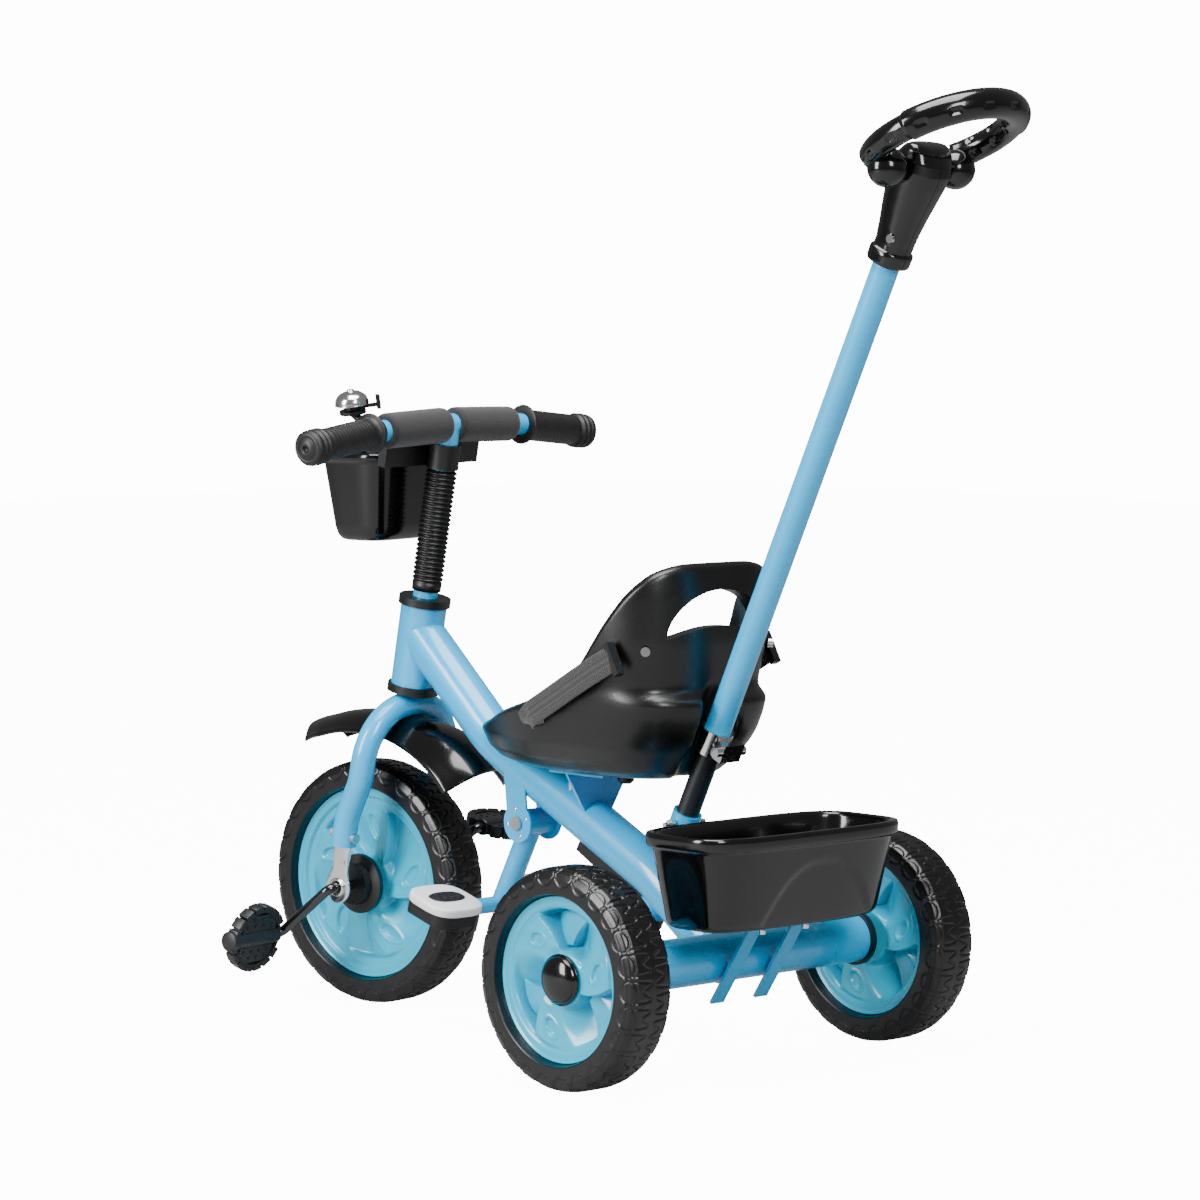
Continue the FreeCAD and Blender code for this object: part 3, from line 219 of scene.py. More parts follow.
# ---- Tyres -------------------------------------------------------------------------------
# Moulded EVA foam tyres: a smooth-skinned black foam, pressed with hairpin sipes across the
# tread and a crescent mark round every block where the tread turns into the side.
def put_mesh(bm, name, mat, body, replaces=(), smooth=True):
    """Turns a finished bmesh into a piece that rides on a body."""
    mesh = bpy.data.meshes.new(name)
    bm.to_mesh(mesh)
    bm.free()
    for face in mesh.polygons:
        face.use_smooth = smooth
    mesh.materials.append(mat)
    piece = bpy.data.objects.new(name, mesh)
    bpy.context.collection.objects.link(piece)
    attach(piece, body)
    if replaces:
        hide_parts(*replaces)
    return piece


def spun(profile, steps, closed=False):
    """A shell turned about Z from (radius, height) points, with normals outwards."""
    bm = bmesh.new()
    verts = [bm.verts.new((r, 0, h)) for r, h in profile]
    edges = [bm.edges.new(pair) for pair in zip(verts, verts[1:])]
    if closed:
        edges.append(bm.edges.new((verts[-1], verts[0])))
    bmesh.ops.spin(bm, geom=verts + edges, cent=(0, 0, 0), axis=(0, 0, 1), angle=2 * math.pi,
                   steps=steps, use_merge=True)
    bmesh.ops.remove_doubles(bm, verts=bm.verts, dist=1e-6)
    bmesh.ops.recalc_face_normals(bm, faces=bm.faces)
    return bm


def refine(points, gap):
    """The same outline with no stretch longer than the gap."""
    fine = [points[0]]
    for (ra, ha), (rb, hb) in zip(points, points[1:]):
        count = max(1, math.ceil(math.hypot(rb - ra, hb - ha) / gap))
        fine += [(ra + (rb - ra) * k / count, ha + (hb - ha) * k / count) for k in range(1, count + 1)]
    return fine


def smooth(value, low, high):
    """Rises smoothly from 0 to 1 between two values."""
    t = min(1.0, max(0.0, (value - low) / (high - low)))
    return t * t * (3 - 2 * t)


def ridge(offset, width):
    """A rounded bump of height one."""
    return math.exp(-(offset / width) ** 2)


def line_gap(x, y, points):
    """The distance from a point to an open line through points."""
    nearest = 1.0
    for (xa, ya), (xb, yb) in zip(points, points[1:]):
        run_x, run_y = xb - xa, yb - ya
        share = ((x - xa) * run_x + (y - ya) * run_y) / (run_x ** 2 + run_y ** 2)
        share = min(1.0, max(0.0, share))
        nearest = min(nearest, math.hypot(x - xa - run_x * share, y - ya - run_y * share))
    return nearest


# One block's sipe, a W with round turns: shares of the pitch, and of the way out to the shoulder.
SIPE = [(-0.41, 1.25), (-0.38, 0.75), (-0.35, 0.26), (-0.29, 0.18), (-0.22, 0.20), (-0.07, 0.60),
        (0.0, 0.66), (0.07, 0.60), (0.22, 0.20), (0.29, 0.18), (0.35, 0.26), (0.38, 0.75), (0.41, 1.25)]
eva_foam, tree, shader = new_material("moulded_eva_foam", IOR=1.5)
speckle(tree, shader, linear("#040404"), linear("#090909"), 1100, 0.25, 0.0002, (0.26, 0.36))
wheels = {}
for tyre in ("front_tyre", "rear_tyre_left", "rear_tyre_right"):
    low, high = (Vector(corner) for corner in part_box(tyre))
    middle = (low + high) / 2
    front = tyre == "front_tyre"
    if front:
        spin_joint = next(j for j in frame["joints"] if j["name"] == "front_wheel_spin")
        middle = Vector(spin_joint["pos_m"])
        axis = Vector(spin_joint["axis"])
    else:
        axis = Vector((1 if tyre.endswith("left") else -1, 0, 0))
    # The frame of a wheel: Z outwards along the axle, Y up.
    side = Vector((0, 0, 1)).cross(axis).normalized()
    wheel_up = axis.cross(side)
    place = Matrix.Translation(middle) @ Matrix((side, wheel_up, axis)).transposed().to_4x4()
    radius, width, bore = (0.1232, 0.052, 0.0966) if front else (0.102, 0.0545, 0.076)
    wheels[tyre] = (place, radius, width, bore)
    pitches = 30 if front else 26
    half = width / 2
    outline = [(bore, half - 0.0086), (bore + 0.002, half), (radius - 0.010, half),
               (radius - 0.0045, half - 0.003), (radius - 0.001, half - 0.0095), (radius, half - 0.016)]
    outline += [(r, -h) for r, h in reversed(outline)]
    pitch_length = 2 * math.pi * radius / pitches
    shoulder = half - 0.009
    sipe = [(a * pitch_length, b * shoulder) for a, b in SIPE]
    bm = spun(refine(outline, 0.0012), pitches * 30)
    for vert in bm.verts:
        reach = math.hypot(vert.co.x, vert.co.y)
        if reach < bore + 0.004:
            continue
        angle = math.atan2(vert.co.y, vert.co.x) / (2 * math.pi) * pitches
        height = vert.co.z
        turn_in = angle + 0.5 if height < 0 else angle
        phase = (turn_in + 0.5) % 1 - 0.5
        along = phase * pitch_length
        # how far the outline has run from the middle of the tread
        run = abs(height) + max(0.0, radius - 0.001 - reach)
        depth = 0.0
        if reach > radius - 0.006:
            depth = 0.0016 * ridge(line_gap(along, run, sipe), 0.0007)
        crescent = math.hypot(along / (pitch_length * 0.43), (run - half - 0.0035) / 0.0105)
        if run > shoulder - 0.002:
            depth = max(depth, 0.0012 * ridge((crescent - 1) * 0.0095, 0.0007))
            depth -= 0.0005 * smooth(crescent, 1.0, 0.85)
        face = smooth(reach, radius - 0.009, radius - 0.003)
        scale = (reach - depth * face) / reach
        vert.co = Vector((vert.co.x * scale, vert.co.y * scale,
                          height - math.copysign(depth * (1 - face), height)))
    bmesh.ops.recalc_face_normals(bm, faces=bm.faces)
    bm.transform(place)
    body = {"front_tyre": "front_wheel", "rear_tyre_left": "left_rear_wheel",
            "rear_tyre_right": "right_rear_wheel"}[tyre]
    put_mesh(bm, tyre + "_foam", eva_foam, body, (tyre,))


# ---- Rims --------------------------------------------------------------------------------
# One-piece injection-moulded rims in glossy cyan plastic: a flat outer band, a step, and broad
# blades swept round the hub, five in front and three behind, each with a moulded dimple.
wheel_blue, tree, shader = new_material("moulded_gloss_plastic_cyan", IOR=1.5, Coat_Weight=0.3,
                                        Coat_Roughness=0.08)
speckle(tree, shader, linear("#00A6C8"), linear("#00B0D2"), 240, 0.08, 0.0004, (0.2, 0.3))


def rim_face(reach, angle, band, front):
    """How far the outer face of the moulding stands behind the tyre's side."""
    blades = 5 if front else 3
    inner = band - (0.017 if front else 0.011)
    face = 0.0086 + 0.0012 * smooth(band - reach, 0.001, 0.003)
    face += (0.0035 if front else 0.002) * smooth(band - reach, 0.0085, 0.0105)
    if reach > inner:
        return face
    # each blade starts at a sharp swept edge and falls away into the next pocket
    sweep = (inner - reach) / inner
    lead = angle * blades / (2 * math.pi) + sweep * (0.55 if front else 0.32)
    phase = lead % 1
    fall = 0.009 if front else 0.021
    slope = smooth(phase, 0.34, 0.80) * (1 - smooth(phase, 0.965, 0.995))
    wall = smooth(inner - reach, 0.0, 0.0035) * smooth(reach, 0.024, 0.031)
    face += fall * slope * wall
    face -= 0.0022 * smooth(phase, 0.34, 0.06) * (1 - smooth(phase, 0.965, 0.995)) * wall
    spot = (phase - (0.30 if front else 0.20)) * 2 * math.pi * reach / blades
    around = math.hypot(spot, (reach - inner * 0.72) * (0.6 if front else 1.0))
    face += 0.0024 * smooth(around, 0.0075, 0.0052) - 0.0008 * ridge(around - 0.0085, 0.0014)
    return face


def merge(bm, other):
    """Adds a second bmesh to the first, and frees it."""
    bits = bpy.data.meshes.new("bits")
    other.to_mesh(bits)
    other.free()
    bm.from_mesh(bits)
    bpy.data.meshes.remove(bits)


for tyre, rim, body in (("front_tyre", "front_rim", "front_wheel"),
                        ("rear_tyre_left", "rear_rim_left", "left_rear_wheel"),
                        ("rear_tyre_right", "rear_rim_right", "right_rear_wheel")):
    place, radius, width, bore = wheels[tyre]
    half = width / 2
    front = rim == "front_rim"
    band = bore - 0.0005
    bm = bmesh.new()
    for flip in (1, -1):
        inner = 0.0085
        profile = refine([(inner, half), (band, half)], 0.0011)
        disc = spun(profile, 420)
        for vert in disc.verts:
            reach = math.hypot(vert.co.x, vert.co.y)
            angle = math.atan2(vert.co.y, vert.co.x)
            depth = rim_face(reach, angle, band, front)
            vert.co.z = (half - depth) * flip
            vert.co.x *= flip
        merge(bm, disc)
    rings = [edge for edge in bm.edges if edge.is_boundary]
    bmesh.ops.bridge_loops(bm, edges=[e for e in rings if e.verts[0].co.xy.length > band - 0.001])
    rings = [edge for edge in bm.edges if edge.is_boundary]
    bmesh.ops.bridge_loops(bm, edges=rings)
    bmesh.ops.recalc_face_normals(bm, faces=bm.faces)
    bm.transform(place)
    put_mesh(bm, rim + "_moulding", wheel_blue, body, (rim,))


# Domed moulded caps hide the axle nuts of the rear wheels.
def turned_piece(profile, steps, place, name, mat, body, replaces=()):
    """A piece turned about the local Z of a place."""
    bm = spun(profile, steps)
    bm.transform(place)
    return put_mesh(bm, name, mat, body, replaces)


gloss_plastic, tree, shader = new_material("moulded_polypropylene_gloss_black", IOR=1.45,
                                           Coat_Weight=0.3, Coat_Roughness=0.05)
speckle(tree, shader, linear("#030303"), linear("#060606"), 190, 0.1, 0.0004, (0.12, 0.2))
for side in ("left", "right"):
    cap = [(0.0220, 0.0172), (0.0233, 0.0174), (0.0236, 0.0182), (0.0230, 0.0196), (0.0218, 0.0199)]
    for step in range(1, 13):
        rise = math.radians(7.5 * step)
        cap.append((0.0214 * math.cos(rise), 0.0200 + 0.0080 * math.sin(rise)))
    turned_piece(cap, 96, wheels[f"rear_tyre_{side}"][0], f"axle_cap_{side}", gloss_plastic,
                 f"{side}_rear_wheel", (f"rear_cap_{side}",))


# ---- Seat --------------------------------------------------------------------------------
# One glossy injection-moulded polypropylene bucket: a rolled lip all round, a grab opening in
# the back, a slot for the belt in each flank and a channel up the back for the push bar.
def skin(columns, rows, shape):
    """A sheet of quads laid over shape(u, v), with its UVs, and welded where its edges meet."""
    bm = bmesh.new()
    bm.loops.layers.uv.new("UVMap")
    bmesh.ops.create_grid(bm, x_segments=columns, y_segments=rows, size=0.5, calc_uvs=True)
    for vert in bm.verts:
        vert.co = Vector(shape(vert.co.x + 0.5, vert.co.y + 0.5))
    bmesh.ops.remove_doubles(bm, verts=bm.verts, dist=2e-6)
    bmesh.ops.recalc_face_normals(bm, faces=bm.faces)
    return bm


def split_edges(piece, degrees):
    """Shades the edges sharper than an angle as hard ones."""
    split = piece.modifiers.new("edges", "EDGE_SPLIT")
    split.split_angle = math.radians(degrees)


def through(stops, place):
    """The values at a place among stops (place, value, value, ...), straight between them."""
    for before, after in zip(stops, stops[1:]):
        if place <= after[0]:
            share = max(0.0, (place - before[0]) / (after[0] - before[0]))
            return [a + (b - a) * share for a, b in zip(before[1:], after[1:])]
    return list(stops[-1][1:])


def rounded(theta, half, front, back, power, front_power):
    """A point of a superellipse in plan, its front half of another power."""
    bend = power if math.sin(theta) > 0 else front_power
    grow = (abs(math.cos(theta)) ** bend + abs(math.sin(theta)) ** bend) ** (-1 / bend)
    along = (back - front) / 2 * math.sin(theta) * grow
    return half * math.cos(theta) * grow, (front + back) / 2 + along


def carve(piece, cutter):
    """Takes a closed mesh out of a piece, and removes it."""
    knife_mesh = bpy.data.meshes.new("knife")
    bmesh.ops.recalc_face_normals(cutter, faces=cutter.faces)
    cutter.to_mesh(knife_mesh)
    cutter.free()
    knife = bpy.data.objects.new("knife", knife_mesh)
    bpy.context.collection.objects.link(knife)
    cut = piece.modifiers.new("carve", "BOOLEAN")
    cut.operation = "DIFFERENCE"
    cut.solver = "EXACT"
    cut.object = knife
    bpy.context.view_layer.update()
    shaped = bpy.data.meshes.new_from_object(piece.evaluated_get(bpy.context.evaluated_depsgraph_get()))
    piece.modifiers.clear()
    piece.data = shaped
    bpy.data.objects.remove(knife)
    bpy.data.meshes.remove(knife_mesh)


SEAT_FLOOR = 0.263
push_joint = next(j for j in frame["joints"] if j["name"] == "push_bar_slide")
push_way = Vector(push_joint["axis"])
socket_mouth = Vector((0, 0.0885, 0.2311))
# height above the seat's floor, half width, front and back
seat_plan = [(0.000, 0.052, -0.145, 0.089), (0.006, 0.066, -0.163, 0.095), (0.015, 0.076, -0.176, 0.103),
             (0.032, 0.086, -0.186, 0.119), (0.045, 0.090, -0.188, 0.127), (0.060, 0.094, -0.189, 0.132),
             (0.076, 0.097, -0.190, 0.135), (0.080, 0.098, -0.190, 0.131), (0.084, 0.098, -0.191, 0.122),
             (0.092, 0.099, -0.191, 0.122), (0.130, 0.104, -0.194, 0.129), (0.177, 0.105, -0.194, 0.131),
             (0.213, 0.103, -0.194, 0.129)]
# how high the rim stands at each place from the nose to the back
seat_rim = [(-0.210, 0.291), (-0.175, 0.295), (-0.153, 0.299), (-0.120, 0.307), (-0.093, 0.316),
            (-0.040, 0.330), (-0.003, 0.342), (0.020, 0.353), (0.039, 0.367), (0.058, 0.389),
            (0.075, 0.412), (0.095, 0.436), (0.115, 0.456), (0.128, 0.465), (0.140, 0.469)]
# along the section: reach from the middle of the floor, share of the rim's height, inset, lift
seat_section = [(0.00, 0.0, 0.0, 0.0, 0.0), (0.06, 1.0, 0.0, 0.0, 0.0), (0.46, 1.0, 1.0, 0.0, -0.004),
                (0.49, 1.0, 1.0, 0.001, -0.001), (0.52, 1.0, 1.0, 0.004, 0.0018),
                (0.55, 1.0, 1.0, 0.008, 0.0026), (0.58, 1.0, 1.0, 0.012, 0.001),
                (0.61, 1.0, 1.0, 0.015, -0.003), (0.66, 1.0, 0.9, 0.0115, -0.006),
                (0.94, 1.0, 0.0, 0.006, 0.004), (1.00, 0.0, 0.0, 0.006, 0.004)]


def seat_point(theta, up, inset):
    """A point of the bucket's wall, kept out of the push bar's channel."""
    half, front, back = through(seat_plan, up)
    x, y = rounded(theta, half - inset, front + inset, back - inset, 4, 2.2)
    ahead = max(0.0, ((front + back) / 2 - y) / (back - front) * 2)
    x *= 1 - 0.45 * ahead ** 1.5
    reach = 0.024 + inset
    bar_y = socket_mouth.y + (SEAT_FLOOR + up - socket_mouth.z) * push_way.y / push_way.z
    edge = math.sqrt(max(0.0, reach ** 2 - x ** 2)) / push_way.z
    if abs(x) < reach * 1.5 and y > bar_y - 0.05:
        y = min(y, bar_y - edge)
    return x, y


def seat_shape(u, v):
    """The bucket: under the floor, up the outside, over the lip and down the inside."""
    theta = 2 * math.pi * u
    reach, share, inset, lift = through(seat_section, v)
    up = 0.1
    for _ in range(14):
        up = through(seat_rim, seat_point(theta, up, 0.0)[1])[0] - SEAT_FLOOR
    up = up * share + lift
    inset += 0.007 * smooth(up, 0.12, 0.17) * (v > 0.6)
    x, y = seat_point(theta, max(0.0, up), inset)
    middle = -0.03
    return x * reach, middle + (y - middle) * reach, SEAT_FLOOR + max(0.0, up)


seat_plastic, tree, shader = new_material("moulded_polypropylene_seat_black", IOR=1.45, Coat_Weight=0.12,
                                          Coat_Roughness=0.15)
speckle(tree, shader, linear("#040404"), linear("#070707"), 1300, 0.3, 0.00022, (0.28, 0.38))
bm = skin(200, 150, seat_shape)
for _ in range(3):
    bmesh.ops.smooth_vert(bm, verts=bm.verts, factor=0.5, use_axis_x=True, use_axis_y=True,
                          use_axis_z=True)
seat_piece = put_mesh(bm, "seat_moulding", seat_plastic, "frame", ("seat_shell",))
cutter = bmesh.new()
bmesh.ops.create_circle(cutter, cap_ends=True, segments=64, radius=1)
for vert in cutter.verts:
    rise = 0.044 * vert.co.y if vert.co.y > 0 else 0.014 * (1 - vert.co.x ** 2) + 0.004 * vert.co.y
    vert.co = Vector((0.064 * vert.co.x, -0.02, 0.399 + rise))
grown = bmesh.ops.extrude_face_region(cutter, geom=cutter.faces[:])
far_side = [v for v in grown["geom"] if isinstance(v, bmesh.types.BMVert)]
bmesh.ops.translate(cutter, vec=(0, 0.19, 0), verts=far_side)
carve(seat_piece, cutter)
for side in (1, -1):
    cutter = bmesh.new()
    bmesh.ops.create_cube(cutter, size=1, matrix=Matrix.Translation((side * 0.090, -0.029, 0.318))
                          @ Matrix.Diagonal((0.044, 0.034, 0.016, 1)))
    bmesh.ops.bevel(cutter, geom=cutter.edges[:], offset=0.005, segments=3, profile=0.5, affect="EDGES",
                    material=-1)
    carve(seat_piece, cutter)
edges = bmesh.new()
edges.from_mesh(seat_piece.data)
bmesh.ops.remove_doubles(edges, verts=edges.verts, dist=2e-5)
edges.to_mesh(seat_piece.data)
edges.free()
for face in seat_piece.data.polygons:
    face.use_smooth = True
split_edges(seat_piece, 42)


# ---- Belt straps -------------------------------------------------------------------------
# Polypropylene webbing 25 mm wide, plain woven from flat yarns, threaded through the flank
# slots and through a plastic slide screwed to each side of the back.
webbing, tree, shader = new_material("woven_polypropylene_webbing", Sheen_Weight=0.3)
flat = node(tree, "TexCoord").outputs["UV"]
warp = node(tree, "TexWave", {"Vector": flat, "Scale": 10.5, "Distortion": 0.3}, bands_direction="X")
weft = node(tree, "TexWave", {"Vector": flat, "Scale": 21.0, "Distortion": 0.3}, bands_direction="Y")
weave = node(tree, "Math", {0: warp.outputs["Fac"], 1: weft.outputs["Fac"]}, operation="MULTIPLY")
tone = node(tree, "Mix", {0: weave.outputs["Value"], 6: linear("#060606"), 7: linear("#2C2B2D")},
            data_type="RGBA")
tree.links.new(tone.outputs[2], shader.inputs["Base Color"])
shader.inputs["Roughness"].default_value = 0.72
relief = node(tree, "Bump", {"Height": weave.outputs["Value"], "Strength": 0.8, "Distance": 0.0006})
tree.links.new(relief.outputs["Normal"], shader.inputs["Normal"])
belt_line = [(0.0, 0.082, -0.030, 0.306), (0.08, 0.096, -0.032, 0.315), (0.2, 0.103, -0.018, 0.323),
             (0.4, 0.1065, 0.012, 0.338), (0.6, 0.1082, 0.040, 0.353), (0.8, 0.1085, 0.066, 0.367),
             (1.0, 0.1075, 0.096, 0.3825)]
for side, name in ((1, "left"), (-1, "right")):
    def belt_shape(u, v, side=side):
        """A flat strip with rounded edges, on edge beside the seat."""
        place = Vector(through(belt_line, v))
        ahead = Vector(through(belt_line, min(1.0, v + 0.06)))
        behind = Vector(through(belt_line, max(0.0, v - 0.06)))
        way = (ahead - behind).normalized()
        out = Vector((1, 0, 0))
        wide = way.cross(out).normalized()
        turned_out = wide.cross(way)
        theta = 2 * math.pi * u
        offset = wide * 0.0125 * math.copysign(abs(math.cos(theta)) ** 0.5, math.cos(theta))
        offset += turned_out * 0.0009 * math.copysign(abs(math.sin(theta)) ** 0.5, math.sin(theta))
        spot = place + offset
        return spot.x * side, spot.y, spot.z
    bm = skin(40, 60, belt_shape)
    put_mesh(bm, f"belt_webbing_{name}", webbing, "frame",
             ("belt_straps",) if side > 0 else ())


# ---- Baskets -----------------------------------------------------------------------------
# Two glossy injection-moulded polypropylene tubs with rolled rims: the large one is screwed
# to straps behind the seat, with an arch embossed in its back, and the small one hangs ahead
# of the stem on its bracket.
def tub_skin(section, half, front, back, power, arch=None):
    """A tub of rounded plan; the section gives spread, inset and height from floor to floor."""
    middle = (front + back) / 2

    def shape(u, v):
        """One point of the tub."""
        spread, inset, height = through(section, v)
        theta = 2 * math.pi * u
        x, y = rounded(theta, half - inset, front + inset, back - inset, power, power)
        if arch:
            y += arch(x, y - middle, height, v)
        return x * spread, middle + (y - middle) * spread, height
    return skin(220, 90, shape)


def arch_relief(x, along, height, v):
    """The embossed arch on the back of the rear tub."""
    if along < 0.03 or v > 0.35:
        return 0.0
    crown = 0.142 + 0.058 * (1 - min(1.0, abs((x + 0.015) / 0.075)) ** 2.4)
    inside = smooth(crown - height, -0.0015, 0.0015)
    return -0.0022 * inside * smooth(height, 0.142, 0.146)


rear_section = [(0.00, 0.0, 0.018, 0.140), (0.04, 0.9, 0.018, 0.140), (0.06, 1.0, 0.017, 0.1425),
                (0.08, 1.0, 0.0145, 0.148), (0.31, 1.0, 0.003, 0.2165), (0.33, 1.0, -0.0005, 0.2162),
                (0.35, 1.0, -0.0018, 0.218), (0.39, 1.0, -0.002, 0.2265), (0.41, 1.0, -0.0012, 0.2288),
                (0.43, 1.0, 0.001, 0.2295), (0.46, 1.0, 0.0045, 0.2285), (0.48, 1.0, 0.0062, 0.226),
                (0.90, 1.0, 0.0165, 0.150), (0.93, 1.0, 0.020, 0.144), (0.95, 0.98, 0.022, 0.1427),
                (1.00, 0.0, 0.022, 0.1427)]
bm = tub_skin(rear_section, 0.130, 0.141, 0.258, 4.2, arch_relief)
put_mesh(bm, "rear_basket_moulding", gloss_plastic, "frame", ("rear_basket",))

steer_joint = next(j for j in frame["joints"] if j["name"] == "steering")
steer_foot = Vector(steer_joint["pos_m"])
steer_way = Vector(steer_joint["axis"])
REST_STEER = math.radians(6)
STEER_TILT = math.radians(10.8)
steer_turn = (Matrix.Translation(steer_foot) @ Matrix.Rotation(REST_STEER, 4, steer_way)
              @ Matrix.Translation(-steer_foot))
column = steer_turn @ Matrix.Translation(steer_foot) @ Matrix.Rotation(-STEER_TILT, 4, "X")
pot_section = [(0.00, 0.0, 0.018, 0.4700), (0.05, 0.9, 0.018, 0.4700), (0.08, 1.0, 0.0165, 0.4715),
               (0.11, 1.0, 0.013, 0.4760), (0.14, 1.0, 0.0108, 0.4830), (0.40, 1.0, 0.002, 0.5500),
               (0.42, 1.0, -0.0005, 0.5505), (0.44, 1.0, -0.001, 0.5560), (0.46, 1.0, 0.0002, 0.5580),
               (0.48, 1.0, 0.0018, 0.5583), (0.50, 1.0, 0.0032, 0.5570), (0.90, 1.0, 0.0130, 0.4800),
               (0.94, 1.0, 0.0180, 0.4740), (0.96, 0.9, 0.0200, 0.4727), (1.00, 0.0, 0.0200, 0.4727)]
bm = tub_skin(pot_section, 0.062, -0.377, -0.289, 4.4)
bm.transform(steer_turn)
put_mesh(bm, "front_basket_moulding", gloss_plastic, "steering", ("front_basket",))


# ---- Mudguard ----------------------------------------------------------------------------
# A thin polypropylene blade bolted under the fork crown: crowned across, with a rolled edge,
# and flared out to a wide tail behind the wheel.
def fender_shape(u, v):
    """From the nose over the wheel to the tail; u goes round the blade's thin section."""
    turn_back = math.radians(-27 + 79 * v)
    flare = smooth(v, 0.30, 1.0)
    top = 0.1741 + 0.026 * flare ** 1.5 + 0.003 * (1 - smooth(v, 0.0, 0.15))
    half = 0.031 + 0.005 * smooth(v, 0.0, 0.12) + 0.011 * smooth(v, 0.45, 1.0)
    around = 2 * u if u <= 0.5 else 2 * (1 - u)
    across = -1 + 2 * around
    sag = 0.026 * abs(across) ** 2.4 * (0.8 + 0.55 * smooth(v, 0.4, 1.0))
    skin_depth = 0.0 if u <= 0.5 else 0.0024
    lip = 0.0012 * ridge(abs(across) - 0.96, 0.05) * (u <= 0.5)
    reach = top - sag - skin_depth + lip
    return half * across * (1 - 0.02 * (u > 0.5)), math.sin(turn_back) * reach, math.cos(turn_back) * reach


bm = skin(96, 110, fender_shape)
bmesh.ops.holes_fill(bm, edges=[e for e in bm.edges if e.is_boundary], sides=0)
bmesh.ops.recalc_face_normals(bm, faces=bm.faces)
wheel_joint = next(j for j in frame["joints"] if j["name"] == "front_wheel_spin")
wheel_centre = Vector(wheel_joint["pos_m"])
bm.transform(Matrix.Translation(wheel_centre) @ steer_turn.to_3x3().to_4x4())
put_mesh(bm, "mudguard_moulding", gloss_plastic, "steering", ("front_fender",))


# ---- Steering head fittings --------------------------------------------------------------
# The corrugated stem cover is blow moulded with round ribs, and pushed over the stem between
# the head tube's top cup and the bracket of the small basket.
cover_profile = [(0.0126, 0.105), (0.0146, 0.105), (0.0148, 0.1135)]
ribs = 24
for rib in range(ribs * 8 + 1):
    swell = 0.5 - 0.5 * math.cos(2 * math.pi * rib / 8)
    cover_profile.append((0.0131 + 0.0025 * swell ** 0.7, 0.1145 + 0.1125 * rib / (ribs * 8)))
cover_profile.append((0.0126, 0.228))
turned_piece(cover_profile, 72, column, "stem_cover_bellows", satin_black, "steering",
             ("stem_cover",))


# ---- Axle plates -------------------------------------------------------------------------
# Pressed steel plates, nickel plated: a narrow neck in the open end of each fork leg widens to
# a round lobe that carries the front axle.
def plate_shape(u, v):
    """One plate in its own plane: u round its section, v from the lobe's foot to the neck's top."""
    rise = -0.0160 + 0.0640 * v
    if rise < 0.0095:
        half = math.sqrt(max(1e-9, 0.0160 ** 2 - min(rise, 0.0095) ** 2))
    else:
        half = 0.0100 + 0.0029 * (1 - smooth(rise, 0.0095, 0.020)) + 0.0012 * smooth(rise, 0.03, 0.046)
    theta = 2 * math.pi * u
    across = math.copysign(abs(math.cos(theta)) ** 0.45, math.cos(theta))
    through_plate = math.copysign(abs(math.sin(theta)) ** 0.45, math.sin(theta))
    thick = 0.0017 + 0.0016 * smooth(rise, 0.022, 0.034)
    return thick * through_plate, half * across, rise


axle_in_column = column.inverted() @ wheel_centre
for side, name in ((1, "left"), (-1, "right")):
    bm = skin(64, 90, plate_shape)
    bmesh.ops.recalc_face_normals(bm, faces=bm.faces)
    washer = spun([(0.0053, 0.0012), (0.0053, 0.0034), (0.0088, 0.0034), (0.0094, 0.0028),
                   (0.0094, 0.0012)], 64)
    washer.transform(Matrix.Rotation(math.radians(90 * side), 4, "Y"))
    merge(bm, washer)
    bm.transform(column @ Matrix.Translation((side * 0.060, axle_in_column.y, axle_in_column.z)))
    put_mesh(bm, f"axle_plate_{name}", bright_plate, "steering",
             ("fork_dropouts",) if side > 0 else ())


